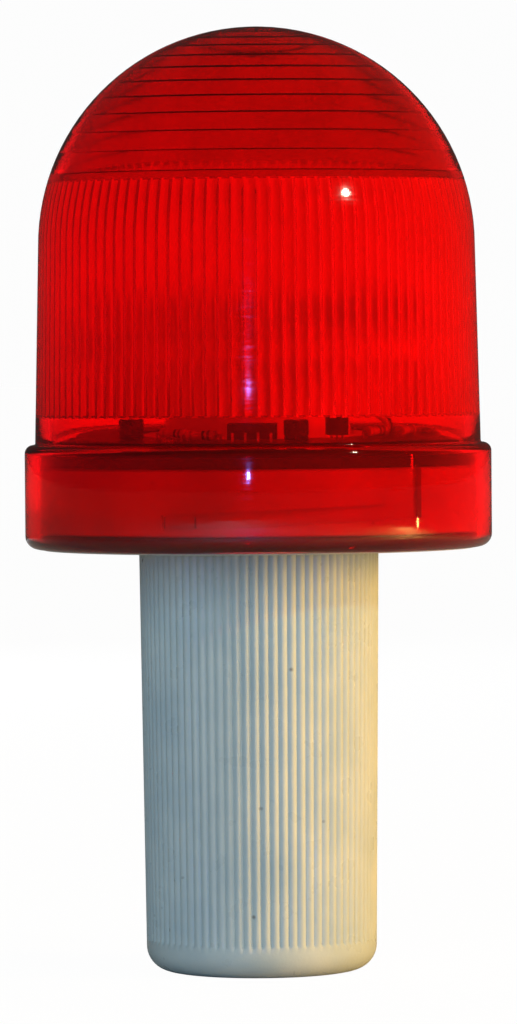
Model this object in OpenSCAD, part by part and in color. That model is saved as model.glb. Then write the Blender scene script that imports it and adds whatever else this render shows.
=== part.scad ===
// Warning lamp that stands in the top of a traffic cone: a ribbed battery tube, a flashing
// lamp module and a fluted red lens that turns on a bayonet.
// Millimetres, +Z up, origin at the centre of the tube's foot.

/* [Tube] */
// Length of the tube, from its foot to the underside of the flange
tube_h = 87.7; // [72:0.1:94]
// Outer diameter of the tube under the flange
tube_top_d = 49.8; // [48.6:0.1:54]
// Outer diameter that the tube's taper has at the foot
tube_foot_d = 47.8; // [46.6:0.1:52]
// Diameter of the bore that holds the cells
tube_bore_d = 42.4; // [41:0.1:43]
// Thickness of the tube's floor
tube_floor_t = 2.4; // [1.6:0.1:4]
// Radius of the round edge at the foot
foot_round = 5.2; // [2:0.1:7]
// Number of ribs around the tube, one groove between each pair
tube_ribs = 80; // [40:2:88]
// Depth of the grooves between the ribs
tube_groove_depth = 0.45; // [0.2:0.05:0.6]
// Height of the smooth band below the ribs
tube_band_h = 6.4; // [5.5:0.1:12]
// Number of ribs inside the bore that guide the cells
cell_guides = 6; // [3:3:6]
// Thickness of a guide rib
cell_guide_t = 1.6; // [1:0.1:2.4]

/* [Cup] */
// Thickness of the flange, which is the cup's floor
flange_t = 3; // [2.4:0.1:3.2]
// Height of the cup's wall above the flange's underside
cup_h = 17.1; // [16:0.1:22]
// Thickness of the cup's wall
cup_wall_t = 2.8; // [2.4:0.1:3.6]
// Diameter of the section of the sealing ring
oring_section_d = 1.7; // [1.4:0.1:1.8]

/* [Lens] */
// Outer diameter of the collar
collar_d = 97; // [95:0.5:125]
// Height of the collar
collar_h = 21.6; // [20.5:0.1:30]
// Wall thickness of the collar's skirt
skirt_t = 2.8; // [2.4:0.1:3.6]
// Radius of the round edge at the collar's foot
collar_foot_round = 2.7; // [0.5:0.1:2.7]
// Radius of the round edge at the collar's top
collar_top_round = 2; // [0.5:0.1:2.2]
// Width of the ledge between the collar's edge and the lens wall
ledge_w = 2.2; // [1.5:0.1:4]
// Height of the lens wall between the collar and the dome
lens_wall_h = 41.1; // [34:0.1:60]
// How far the wall leans in over its height
lens_draft = 0.95; // [0:0.05:2]
// Thickness of the lens where the dome begins
lens_t = 2.05; // [1.6:0.05:3]
// Number of flutes inside the wall
flutes = 108; // [60:6:112]
// Depth of a flute
flute_depth = 0.7; // [0.3:0.05:1]
// Height of the smooth band between the collar's top and the flutes
lens_band_h = 5.7; // [4:0.1:12]
// Number of stepped rings inside the dome
dome_rings = 11; // [6:1:11]
// Latitude of the lowest ring, in degrees
first_ring_deg = 19.3; // [17:0.1:24]
// Latitude between two rings, in degrees
ring_pitch_deg = 5.85; // [4:0.05:6]
// Depth of a ring's step
ring_depth = 0.6; // [0.2:0.05:0.8]

/* [Bayonet] */
// Angle that the lens turns through from locked to free, in degrees
bayonet_turn = 60; // [45:1:75]
// How far the lens climbs over that turn
bayonet_rise = 1.8; // [1:0.1:2.2]
// Height of a lug
lug_h = 2.4; // [1.8:0.1:3]
// Width of a lug, in degrees
lug_deg = 8; // [5:0.5:12]
// How far a lug reaches into the cup's wall
lug_reach = 1; // [0.6:0.1:1.2]

/* [Cells] */
// Diameter of a cell over its jacket
cell_d = 33.2; // [26:0.1:33.6]
// Height of a cell with its nub
cell_h = 61.5; // [60:0.1:62]
// Height of the spring under the cells when the lens is locked
spring_h = 3; // [2.8:0.1:4]

/* [Lamp module] */
// Thickness of the carrier plate
plate_t = 2.2; // [1.6:0.1:2.6]
// Depth of the ring under the plate that centres it in the cup
plate_ring_h = 6; // [4:0.5:8]
// Wall thickness of the lamp tower
tower_t = 1.9; // [1.5:0.1:2.4]
// Diameter of the tower's head
head_d = 52; // [50:0.5:60]
// Height of the rim around the tower's head
head_h = 4.2; // [3:0.1:5]
// Thickness of a circuit board
board_t = 1.6; // [1:0.1:1.6]
// Number of light-emitting diodes around the head
led_count = 6; // [3:1:8]
// Diameter of a light-emitting diode
led_d = 5; // [3:0.5:5.5]

/* [Hidden] */
$fn = 96;

// Clearances and overlaps
slip = 0.3;       // between pieces that move past each other
screw_play = 0.2; // between a screw and the piece that it clamps
skirt_gap = 0.4;  // between the cup and the skirt around it
touch = 0.05;     // between pieces of one body that bear on each other
seat_gap = 0.1;   // between the cup's rim and the plate that rests on it
foot_gap = 0.2;   // between the tube's flange and the foot of the collar
cell_gap = 0.8;   // between a cell and what guides it
sink = 0.5;       // how far a rib or boss reaches into the wall that carries it
over = 1;         // how far a cutting shape reaches past what it cuts

// Tube and cup
tube_top_r = tube_top_d / 2;
tube_foot_r = tube_foot_d / 2;
tube_bore_r = tube_bore_d / 2;
tube_lean = atan((tube_top_r - tube_foot_r) / tube_h);
foot_arc_x = tube_foot_r + foot_round * tan(tube_lean) - foot_round / cos(tube_lean);
foot_end = [foot_arc_x + foot_round * cos(tube_lean), foot_round * (1 - sin(tube_lean))];
groove_w = 0.8 * 2 * PI * tube_foot_r / tube_ribs;
groove_out = 0.1;
flange_z = tube_h;
cup_floor_z = flange_z + flange_t;
cup_top_z = flange_z + cup_h;
skirt_in_r = collar_d / 2 - skirt_t;
cup_r = skirt_in_r - skirt_gap;
cup_in_r = cup_r - cup_wall_t;
guide_r = cell_d / 2 + cell_gap;
key_count = 3;
key_first_deg = 80;
key_t = 2;
key_in = 2.2;
oring_gap = 0.2;
oring_play = 0.5;
oring_lip_h = 1.7;
oring_r = skirt_in_r - oring_gap - oring_section_d / 2;
oring_groove_h = oring_section_d + oring_play;
oring_z = flange_z + oring_lip_h + oring_groove_h / 2;

// Bayonet: lug_z is the middle of a locked lug
bayonet_count = 3;
bayonet_first_deg = 10;
slot_play = 0.4;
slot_end_play_deg = 1;
lug_in_r = cup_r - lug_reach;
slot_floor_r = lug_in_r - slip;
slot_web_h = 1.2;
lug_z = oring_z + oring_groove_h / 2 + slot_web_h + slot_play + lug_h / 2;
slot_steps = 4;

// Carrier plate and lens
plate_z = cup_top_z + seat_gap;
plate_top_z = plate_z + plate_t;
plate_r = cup_r - seat_gap;
plate_ring_r = cup_in_r - slip;
plate_ring_t = 2;
lens_foot_z = flange_z + foot_gap;
collar_r = collar_d / 2;
collar_top_z = lens_foot_z + collar_h;
lens_seat_z = plate_top_z + slip;
lens_foot_r = collar_r - ledge_w;
lens_top_r = lens_foot_r - lens_draft;
lens_bore_r = lens_top_r - lens_t;
dome_z = collar_top_z + lens_wall_h;
flute_w = 0.8 * 2 * PI * lens_bore_r / flutes;
flute_sink = 0.3;
flute_end_r = lens_bore_r - flute_depth - flute_sink;
flute_top_z = dome_z + sqrt(pow(lens_bore_r, 2) - pow(flute_end_r, 2));

// Cells
cell_r = cell_d / 2;
cell_foot_z = tube_floor_t + spring_h;
cell_nub_h = 1.5;
cell_nub_r = 4.7;
jacket_t = 0.4;
jacket_lip = 0.8;

// Lamp tower
tower_in_r = guide_r;
tower_r = tower_in_r + tower_t;
tower_foot_gap = 2;
tower_foot_z = cup_floor_z + tower_foot_gap;
tower_flange_w = 4.7;
tower_flange_r = tower_r + tower_flange_w;
tower_flange_t = 2;
contact_t = 0.4;
head_under_z = cell_foot_z + 2 * cell_h + contact_t + 2 * touch;
head_top_t = 1.6;
head_top_z = head_under_z + head_top_t;
head_rim_t = 1.6;
head_r = head_d / 2;
tower_screw_r = tower_r + tower_flange_w / 2;
tower_screw_first_deg = 30;
tower_screw_d = 2.2;
tower_screw_l = 6;
tower_boss_r = 2.4;
tower_boss_h = 4;
screw_count = 3;

// Control board and what stands on it
board_boss_h = 0.8;
board_z = plate_top_z + board_boss_h;
board_top_z = board_z + board_t;
board_in_gap = 1.2;
board_out_gap = 5.3;
board_in_r = tower_flange_r + board_in_gap;
board_r = lens_bore_r - board_out_gap;
board_mid_r = (board_in_r + board_r) / 2;
board_screw_d = 1.8;
board_screw_l = 3.6;
board_screw_edge = 2.8;
board_screw_r = board_r - board_screw_edge;
board_screw_first_deg = 0;
board_boss_r = 2.2;

// LED board and what stands on it
led_board_boss_h = 0.6;
led_board_z = head_top_z + led_board_boss_h;
led_board_top_z = led_board_z + board_t;
led_board_edge = 2.5;
led_board_r = head_r - led_board_edge;
led_screw_edge = 3;
led_screw_r = led_board_r - led_screw_edge;
led_screw_first_deg = 180 / led_count;
led_screw_d = 1.6;
led_screw_l = 3.2;
led_boss_r = 2;
led_lift = 1.7;
led_z = led_board_top_z + led_d / 2 + led_lift;
led_foot_r = 12.5;
led_body_l = 6.5;
led_flange_l = 1;
led_flange_w = 0.4;
lead_r = 0.25;
lead_pitch = 2.54;
lead_out = 1.5;

// Contacts
strip_w = 6;
strip_t = 0.4;
strip_deg = 30;
strip_wall_gap = 0.5;
strip_r = tube_bore_r - strip_wall_gap;
strip_in_r = 3;
strip_past_contact = 3;
contact_wall_gap = 9;
contact_mid_r = cup_in_r - contact_wall_gap;
contact_ring_w = 5;
contact_ring_lift = 1.9;
contact_ring_z = cup_floor_z + contact_ring_lift;
contact_open_gap = 0.15;
button_foot_r = 2.2;
button_top_r = 1.2;
post_r = 2.2;
post_pin_r = 0.9;
post_first_deg = 90;
rivet_r = 0.9;
strip_rivet_in = 4.8;
strip_rivet_r = tube_bore_r + strip_rivet_in;
leaf_r = 7;
contact_arm_w = 5;
contact_arm_out = 2.7;
contact_arm_r = tower_r + contact_arm_out;
contact_deg = 90;
contact_rivet_r = 11;

// Spring
spring_wire_r = 0.45;
spring_turns = 3;
spring_foot_r = 9;
spring_top_r = 5.5;
spring_foot_z = tube_floor_t + strip_t + 2 * touch;

// Wires: each lies in one upright plane through the lamp's axis
wire_r = 0.7;
wire_hole_r = wire_r + slip;
wire_negative_deg = 200;
wire_led_deg = [345, 352];
wire_led_edge = 1.4;
wire_led_r = led_board_r - wire_led_edge;

tube_grey = [0.78, 0.78, 0.74];
lens_red = [0.85, 0.03, 0.05, 0.55];
black_plastic = [0.06, 0.06, 0.06];
white_plastic = [0.9, 0.9, 0.87];
board_green = [0.07, 0.33, 0.18];
steel = [0.72, 0.73, 0.75];
brass_yellow = [0.78, 0.62, 0.28];
tinned = [0.82, 0.82, 0.8];

// ---- Shared shapes ----

// Copies the children around the axis
module around(count, first_deg = 0) {
    for (i = [0:count - 1])
        rotate([0, 0, first_deg + i * 360 / count])
            children();
}

// A ring of revolution between two radii and two heights
module ring(r_in, r_out, z, h) {
    rotate_extrude()
        translate([r_in, z])
            square([r_out - r_in, h]);
}

// A plate that stands on a radius, from r_in to r_out, t thick
module fin(r_in, r_out, z, h, t) {
    translate([r_in, -t / 2, z])
        cube([r_out - r_in, t, h]);
}

// A closed skin over rings of points, all rings with the same number
module skin(rings) {
    n = len(rings[0]);
    last = (len(rings) - 1) * n;
    polyhedron(
        points = [for (r = rings) each r],
        faces = concat(
            [[for (j = [0:n - 1]) j]],
            [for (i = [0:len(rings) - 2]) for (j = [0:n - 1])
                [i * n + j, (i + 1) * n + j, (i + 1) * n + (j + 1) % n, i * n + (j + 1) % n]],
            [[for (j = [n - 1:-1:0]) last + j]]
        ),
        convexity = 4
    );
}

// A point of a smooth curve through the route p, at parameter t from 0 to len(p) - 1
function route_point(p, t) =
    let (i = min(floor(t), len(p) - 2))
    let (u = t - i)
    let (a = p[max(i - 1, 0)], b = p[i], c = p[i + 1], d = p[min(i + 2, len(p) - 1)])
    0.5 * (2 * b + (c - a) * u + (2 * a - 5 * b + 4 * c - d) * u * u
        + (3 * b - a - 3 * c + d) * u * u * u);

// A round wire along a route of [radius, height] points in the plane y = 0
module plane_wire(route, r) {
    sides = 8;
    steps = 4 * (len(route) - 1);
    centres = [for (i = [0:steps]) route_point(route, i * (len(route) - 1) / steps)];
    last = len(route) - 1;
    function heading(i) =
        i == 0 ? route[1] - route[0]
        : i == steps ? route[last] - route[last - 1]
        : centres[i + 1] - centres[i - 1];
    skin([for (i = [0:steps])
        let (t = heading(i) / norm(heading(i)))
        [for (j = [0:sides - 1])
            let (a = j * 360 / sides)
            [centres[i][0] - r * cos(a) * t[1], r * sin(a), centres[i][1] + r * cos(a) * t[0]]]]);
}

// A pan-head screw, head up, with its head's underside at z = 0
module pan_screw(shank_r, length) {
    head_r = 1.9 * shank_r;
    head_h = 1.3 * shank_r;
    difference() {
        union() {
            translate([0, 0, -length])
                cylinder(r = shank_r, h = length, $fn = 32);
            cylinder(r1 = head_r, r2 = 0.8 * head_r, h = head_h, $fn = 32);
        }
        for (turn = [0, 90])
            rotate([0, 0, turn])
                translate([-head_r / 2, -head_r / 8, 0.45 * head_h])
                    cube([head_r, head_r / 4, head_h]);
    }
}

// A rivet: head up at z = 0, shank below
module rivet(shank_r, length) {
    head_h = 0.5;
    translate([0, 0, -length])
        cylinder(r = shank_r, h = length, $fn = 32);
    cylinder(r1 = 2 * shank_r, r2 = 1.4 * shank_r, h = head_h, $fn = 32);
}

// A lead that leaves along -X at height z, bends, and goes down by drop
module bent_lead(length, drop, r) {
    translate([-length, 0, 0])
        rotate([0, 90, 0])
            cylinder(r = r, h = length, $fn = 16);
    translate([-length, 0, 0])
        sphere(r = r, $fn = 16);
    translate([-length, 0, -drop])
        cylinder(r = r, h = drop, $fn = 16);
}

// ---- Tube and cup ----

// Half outline of the tube: a tapered wall on a rounded foot
module tube_outline() {
    polygon([[0, 0], [foot_arc_x, 0], foot_end, [tube_top_r, tube_h], [0, tube_h]]);
    translate([foot_arc_x, foot_round])
        circle(r = foot_round);
}

// One groove between two ribs, along the tapered wall at angle 0
module tube_groove() {
    w = groove_w / 2 * (1 + groove_out / tube_groove_depth);
    translate([tube_foot_r, 0, 0])
        rotate([0, tube_lean, 0])
            translate([0, 0, tube_band_h])
                linear_extrude(height = tube_h / cos(tube_lean))
                    polygon([[-tube_groove_depth, 0], [groove_out, -w], [groove_out, w]]);
}

// One bayonet slot, cut from outside: a climbing run, then a way up through the cup's rim
module bayonet_slot() {
    lug_half = lug_deg / 2 + slot_end_play_deg;
    run_from = -lug_half;
    run_to = bayonet_turn + lug_half;
    step_deg = (run_to - run_from) / slot_steps;
    half_w = cup_r * tan(step_deg / 2) + slot_play;
    slope = bayonet_rise / (bayonet_turn * PI / 180 * cup_r);
    half_h = lug_h / 2 + slot_play;
    reach = cup_r + over;
    difference() {
        union() {
            for (i = [0:slot_steps - 1]) {
                deg = run_from + (i + 0.5) * step_deg;
                mid = lug_z + bayonet_rise * deg / bayonet_turn;
                rotate([90, 0, 90 + deg])
                    linear_extrude(height = reach)
                        polygon([
                            [-half_w, mid - half_h - slope * half_w],
                            [half_w, mid - half_h + slope * half_w],
                            [half_w, mid + half_h + slope * half_w],
                            [-half_w, mid + half_h - slope * half_w]
                        ]);
            }
            rotate([0, 0, bayonet_turn])
                fin(
                    0, reach, lug_z + bayonet_rise, cup_top_z - lug_z,
                    2 * cup_r * tan(lug_half)
                );
        }
        cylinder(r = slot_floor_r, h = cup_top_z + 2 * over);
    }
}

module battery_tube() {
    color(tube_grey) {
        difference() {
            union() {
                difference() {
                    rotate_extrude()
                        intersection() {
                            tube_outline();
                            square([tube_top_r + over, tube_h]);
                        }
                    around(tube_ribs)
                        tube_groove();
                }
                translate([0, 0, flange_z])
                    cylinder(r = cup_r, h = cup_h);
            }
            translate([0, 0, tube_floor_t])
                cylinder(r = tube_bore_r, h = cup_top_z);
            translate([0, 0, cup_floor_z])
                cylinder(r = cup_in_r, h = cup_h);
            ring(
                oring_r - oring_section_d / 2 - touch, cup_r + over,
                oring_z - oring_groove_h / 2, oring_groove_h
            );
            around(bayonet_count, bayonet_first_deg)
                bayonet_slot();
            rotate([0, 0, strip_deg])
                translate([strip_rivet_r, 0, flange_z - over])
                    cylinder(r = rivet_r + touch, h = flange_t + 2 * over, $fn = 32);
        }
        around(cell_guides)
            fin(guide_r, tube_bore_r + sink, tube_floor_t - sink, tube_h - tube_floor_t, cell_guide_t);
        around(key_count, key_first_deg)
            fin(cup_in_r - key_in, cup_in_r + sink, cup_floor_z - sink, cup_h - flange_t, key_t);
    }
}

module flange_oring() {
    color(black_plastic)
        translate([0, 0, oring_z])
            rotate_extrude()
                translate([oring_r, 0])
                    circle(r = oring_section_d / 2, $fn = 32);
}

// A cone-shaped coil, squeezed to its locked height
module battery_spring() {
    steps = 18;
    sides = 8;
    coil_z = spring_foot_z + spring_wire_r;
    coil_h = cell_foot_z - touch - 2 * spring_wire_r - spring_foot_z;
    color(steel)
        skin([for (i = [0:spring_turns * steps])
            let (share = i / (spring_turns * steps), a = share * spring_turns * 360)
            let (r = spring_foot_r + (spring_top_r - spring_foot_r) * share, z = coil_z + coil_h * share)
            [for (j = [0:sides - 1])
                let (b = -j * 360 / sides, q = r + spring_wire_r * cos(b))
                [q * cos(a), q * sin(a), z + spring_wire_r * sin(b)]]]);
}

// One strip: under the spring, up the bore and out over the cup's floor to a raised contact
module negative_strip() {
    foot_z = tube_floor_t + touch;
    tab_z = cup_floor_z + touch;
    tab_end = contact_mid_r + strip_past_contact;
    button_h = contact_ring_z - contact_open_gap - tab_z - strip_t;
    color(brass_yellow)
        rotate([0, 0, strip_deg])
            difference() {
                union() {
                    fin(strip_in_r, strip_r, foot_z, strip_t, strip_w);
                    fin(strip_r - strip_t, strip_r, foot_z, tab_z + strip_t - foot_z, strip_w);
                    fin(strip_r - strip_t, tab_end, tab_z, strip_t, strip_w);
                    translate([contact_mid_r, 0, tab_z + strip_t - touch])
                        cylinder(r1 = button_foot_r, r2 = button_top_r, h = button_h + touch, $fn = 32);
                }
                translate([strip_rivet_r, 0, tab_z - over])
                    cylinder(r = rivet_r + touch, h = strip_t + 2 * over, $fn = 32);
            }
}

module strip_rivet() {
    color(steel)
        rotate([0, 0, strip_deg])
            translate([strip_rivet_r, 0, cup_floor_z + strip_t + 2 * touch])
                rivet(rivet_r, flange_t);
}

// ---- Lamp module ----

module carrier_plate() {
    color(black_plastic)
        difference() {
            union() {
                translate([0, 0, plate_z])
                    cylinder(r = plate_r, h = plate_t);
                ring(plate_ring_r - plate_ring_t, plate_ring_r, plate_z - plate_ring_h, plate_ring_h + sink);
                around(screw_count, post_first_deg)
                    translate([contact_mid_r, 0, 0]) {
                        translate([0, 0, contact_ring_z + contact_t + touch])
                            cylinder(r = post_r, h = plate_z - contact_ring_z - contact_t, $fn = 32);
                        translate([0, 0, contact_ring_z - 0.3])
                            cylinder(r = post_pin_r, h = 2, $fn = 32);
                    }
                around(screw_count, tower_screw_first_deg)
                    translate([tower_screw_r, 0, plate_z - tower_boss_h])
                        cylinder(r = tower_boss_r, h = tower_boss_h + sink, $fn = 32);
                around(screw_count, board_screw_first_deg)
                    translate([board_screw_r, 0, plate_top_z - sink])
                        cylinder(r = board_boss_r, h = board_boss_h + sink, $fn = 32);
            }
            translate([0, 0, plate_z - plate_ring_h - over])
                cylinder(r = tower_r + 2 * touch, h = plate_ring_h + plate_t + 2 * over);
            around(key_count, key_first_deg)
                fin(
                    cup_in_r - key_in - slip, plate_ring_r + over,
                    plate_z - plate_ring_h - over, plate_ring_h + over, key_t + 2 * slip
                );
            around(screw_count, tower_screw_first_deg)
                translate([tower_screw_r, 0, plate_z - tower_boss_h - over])
                    cylinder(
                        r = tower_screw_d / 2 + touch,
                        h = plate_t + tower_boss_h + 2 * over, $fn = 32
                    );
            around(screw_count, board_screw_first_deg)
                translate([board_screw_r, 0, plate_z - over])
                    cylinder(
                        r = board_screw_d / 2 + touch,
                        h = plate_t + board_boss_h + 2 * over, $fn = 32
                    );
            rotate([0, 0, wire_negative_deg])
                translate([contact_mid_r, 0, plate_z - over])
                    cylinder(r = wire_hole_r, h = plate_t + 2 * over, $fn = 32);
        }
}

module contact_ring() {
    color(brass_yellow)
        difference() {
            ring(
                contact_mid_r - contact_ring_w / 2, contact_mid_r + contact_ring_w / 2,
                contact_ring_z, contact_t
            );
            around(screw_count, post_first_deg)
                translate([contact_mid_r, 0, contact_ring_z - over])
                    cylinder(r = post_pin_r + touch, h = contact_t + 2 * over, $fn = 32);
        }
}

// A tube around the upper cell, with a screwed flange below and a rimmed head above
module lamp_tower() {
    color(white_plastic)
        difference() {
            union() {
                translate([0, 0, tower_foot_z])
                    cylinder(r = tower_r, h = head_top_z - tower_foot_z);
                translate([0, 0, plate_top_z + touch])
                    cylinder(r = tower_flange_r, h = tower_flange_t);
                difference() {
                    translate([0, 0, head_top_z - head_h])
                        cylinder(r = head_r, h = head_h);
                    translate([0, 0, head_top_z - head_h - over])
                        cylinder(r = head_r - head_rim_t, h = head_h - head_top_t + over);
                }
                around(screw_count, led_screw_first_deg)
                    translate([led_screw_r, 0, head_top_z - sink])
                        cylinder(r = led_boss_r, h = led_board_boss_h + sink - touch, $fn = 32);
            }
            translate([0, 0, tower_foot_z - over])
                cylinder(r = tower_in_r, h = head_under_z - tower_foot_z + over);
            around(screw_count, tower_screw_first_deg)
                translate([tower_screw_r, 0, plate_top_z - over])
                    cylinder(r = tower_screw_d / 2 + screw_play, h = tower_flange_t + 2 * over, $fn = 32);
            around(screw_count, led_screw_first_deg)
                translate([led_screw_r, 0, head_under_z - over])
                    cylinder(
                        r = led_screw_d / 2 + touch,
                        h = head_top_t + led_board_boss_h + 2 * over, $fn = 32
                    );
            rotate([0, 0, contact_deg]) {
                fin(
                    tower_in_r - over, tower_r + over,
                    head_under_z - contact_t - 1, contact_t + 1, contact_arm_w + 2 * slip
                );
                translate([contact_rivet_r, 0, head_under_z - over])
                    cylinder(r = rivet_r + touch, h = head_top_t + 2 * over, $fn = 32);
            }
            for (deg = wire_led_deg)
                rotate([0, 0, deg])
                    translate([wire_led_r, 0, head_under_z - over])
                        cylinder(r = wire_hole_r, h = head_top_t + 2 * over, $fn = 32);
        }
}

module tower_screws() {
    color(steel)
        around(screw_count, tower_screw_first_deg)
            translate([tower_screw_r, 0, plate_top_z + tower_flange_t + 2 * touch])
                pan_screw(tower_screw_d / 2, tower_screw_l);
}

module control_board() {
    color(board_green)
        difference() {
            ring(board_in_r, board_r, board_z + touch, board_t - touch);
            around(screw_count, board_screw_first_deg)
                translate([board_screw_r, 0, board_z - over])
                    cylinder(r = board_screw_d / 2 + screw_play, h = board_t + 2 * over, $fn = 32);
        }
}

module board_screws() {
    color(steel)
        around(screw_count, board_screw_first_deg)
            translate([board_screw_r, 0, board_top_z + touch])
                pan_screw(board_screw_d / 2, board_screw_l);
}

// Puts the children on the control board, X pointing outwards
module on_board(deg, r = board_mid_r) {
    rotate([0, 0, deg])
        translate([r, 0, board_top_z])
            children();
}

capacitor_r = 2.5;
capacitor_h = 4.6;

// An upright electrolytic capacitor with a grooved foot and a sunk top
module capacitor() {
    dent = 0.3;
    groove_z = 0.9;
    groove_h = 0.4;
    rim_w = 0.5;
    color([0.08, 0.09, 0.12])
        translate([0, 0, touch])
            difference() {
                cylinder(r = capacitor_r, h = capacitor_h, $fn = 48);
                ring(capacitor_r - dent, capacitor_r + over, groove_z, groove_h);
                translate([0, 0, capacitor_h - dent])
                    cylinder(r = capacitor_r - rim_w, h = over, $fn = 48);
            }
}

// Each resistor's angle, and how far it stands outside the first row
resistor_at = [[236, 0], [250, 3], [322, 0], [335, 3], [60, 0], [98, 2]];
resistor_row_r = board_mid_r - 1.5;
resistor_z = 1.5;
resistor_l = 6.2;
resistor_r = 1;
resistor_cap_r = 1.2;
resistor_cap_l = 1.5;
resistor_lead_l = 1;

// Resistors lie across the board's radius
module resistors() {
    color([0.76, 0.62, 0.42])
        for (at = resistor_at)
            on_board(at[0], resistor_row_r + at[1])
                translate([0, resistor_l / 2, resistor_z])
                    rotate([90, 0, 0]) {
                        cylinder(r = resistor_r, h = resistor_l, $fn = 24);
                        for (z = [0, resistor_l - resistor_cap_l])
                            translate([0, 0, z])
                                cylinder(r = resistor_cap_r, h = resistor_cap_l, $fn = 24);
                    }
}

module resistor_leads() {
    color(tinned)
        for (at = resistor_at)
            on_board(at[0], resistor_row_r + at[1])
                for (side = [-90, 90])
                    rotate([0, 0, side])
                        translate([-resistor_l / 2 - touch, 0, resistor_z])
                            bent_lead(resistor_lead_l, resistor_z - touch, lead_r);
}

ic_deg = 268;
ic_w = 6.4;
ic_l = 9.8;
ic_h = 3.3;
ic_lift = 0.6;
ic_notch_r = 0.9;
ic_notch_h = 0.5;
ic_pin_rows = [-1.5:1:1.5];
ic_pin_w = 0.5;
ic_pin_t = 0.3;
ic_pin_h = 1.2;
ic_shoulder = 0.7;

module flasher_ic() {
    color([0.05, 0.05, 0.055])
        on_board(ic_deg)
            difference() {
                translate([-ic_w / 2, -ic_l / 2, ic_lift])
                    cube([ic_w, ic_l, ic_h]);
                translate([0, -ic_l / 2, ic_lift + ic_h - ic_notch_h])
                    cylinder(r = ic_notch_r, h = over, $fn = 24);
            }
}

// Four pins on each side, each out of the case and down to the board
module ic_pins() {
    color(tinned)
        on_board(ic_deg)
            for (side = [0, 180])
                rotate([0, 0, side])
                    for (i = ic_pin_rows)
                        translate([ic_w / 2 + touch, i * lead_pitch - ic_pin_w / 2, 0]) {
                            translate([0, 0, ic_lift + ic_pin_h])
                                cube([ic_shoulder, ic_pin_w, ic_pin_t]);
                            translate([ic_shoulder - ic_pin_t, 0, touch])
                                cube([ic_pin_t, ic_pin_w, ic_lift + ic_pin_h]);
                        }
}

transistor_deg = 300;
transistor_lift = 1.2;
transistor_r = 2.3;
transistor_h = 4.2;
transistor_flat = 1.4;
transistor_leg_pitch = 1.27;

module transistor() {
    color([0.05, 0.05, 0.055])
        on_board(transistor_deg)
            translate([0, 0, transistor_lift])
                difference() {
                    cylinder(r = transistor_r, h = transistor_h, $fn = 48);
                    translate([-transistor_flat - transistor_r, -transistor_r, -over])
                        cube([transistor_r, 2 * transistor_r, transistor_h + 2 * over]);
                }
}

module transistor_legs() {
    color(tinned)
        on_board(transistor_deg)
            for (i = [-1:1])
                translate([0, i * transistor_leg_pitch, touch])
                    cylinder(r = lead_r, h = transistor_lift - 2 * touch, $fn = 16);
}

module led_board() {
    color([0.88, 0.89, 0.86])
        difference() {
            translate([0, 0, led_board_z])
                cylinder(r = led_board_r, h = board_t);
            around(screw_count, led_screw_first_deg)
                translate([led_screw_r, 0, led_board_z - over])
                    cylinder(r = led_screw_d / 2 + screw_play, h = board_t + 2 * over, $fn = 32);
            for (deg = wire_led_deg)
                rotate([0, 0, deg])
                    translate([wire_led_r, 0, led_board_z - over])
                        cylinder(r = wire_hole_r, h = board_t + 2 * over, $fn = 32);
        }
}

module led_board_screws() {
    color(steel)
        around(screw_count, led_screw_first_deg)
            translate([led_screw_r, 0, led_board_top_z + touch])
                pan_screw(led_screw_d / 2, led_screw_l);
}

// A light-emitting diode that points outwards
module led(i) {
    r = led_d / 2;
    color([0.9, 0.25, 0.2, 0.8])
        rotate([0, 0, (i - 1) * 360 / led_count])
            translate([led_foot_r, 0, led_z])
                rotate([0, 90, 0]) {
                    cylinder(r = r + led_flange_w, h = led_flange_l, $fn = 48);
                    cylinder(r = r, h = led_body_l, $fn = 48);
                    translate([0, 0, led_body_l])
                        sphere(r = r, $fn = 48);
                }
}

module led_leads() {
    color(tinned)
        around(led_count)
            for (side = [-0.5, 0.5])
                translate([led_foot_r - touch, side * lead_pitch, led_z])
                    bent_lead(lead_out, led_z - led_board_top_z - touch, lead_r);
}

photocell_lift = 2;
photocell_r = 2.6;
photocell_h = 1.6;
photocell_rim_w = 0.5;
photocell_window_h = 0.35;
photocell_leg_r = 1.7;

module photocell() {
    color([0.75, 0.45, 0.2])
        translate([0, 0, led_board_top_z + photocell_lift]) {
            cylinder(r = photocell_r, h = photocell_h, $fn = 48);
            cylinder(r = photocell_r - photocell_rim_w, h = photocell_h + photocell_window_h, $fn = 48);
        }
}

module photocell_legs() {
    color(tinned)
        for (side = [-1, 1])
            translate([side * photocell_leg_r, 0, led_board_top_z + touch])
                cylinder(r = lead_r, h = photocell_lift - 2 * touch, $fn = 16);
}

// A leaf under the head's ceiling, with an arm out through the tower's wall
module positive_contact() {
    color(brass_yellow)
        rotate([0, 0, contact_deg])
            difference() {
                union() {
                    translate([0, 0, head_under_z - touch - contact_t])
                        cylinder(r = leaf_r, h = contact_t);
                    fin(0, contact_arm_r, head_under_z - touch - contact_t, contact_t, contact_arm_w);
                }
                translate([contact_rivet_r, 0, head_under_z - contact_t - over])
                    cylinder(r = rivet_r + touch, h = contact_t + 2 * over, $fn = 32);
            }
}

module contact_rivet() {
    color(steel)
        rotate([0, 0, contact_deg])
            translate([contact_rivet_r, 0, head_top_z + touch])
                rivet(rivet_r, head_top_t + contact_t + touch);
}

module wire_positive() {
    start_z = head_under_z - contact_t - 2 * touch;
    color([0.75, 0.05, 0.05])
        rotate([0, 0, contact_deg])
            plane_wire([
                [contact_arm_r - 1, start_z],
                [contact_arm_r - 1, start_z - 5],
                [contact_arm_r - 0.5, board_top_z + 8],
                [board_in_r + 2, board_top_z + 3],
                [board_in_r + 2, board_top_z + touch]
            ], wire_r);
}

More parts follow.
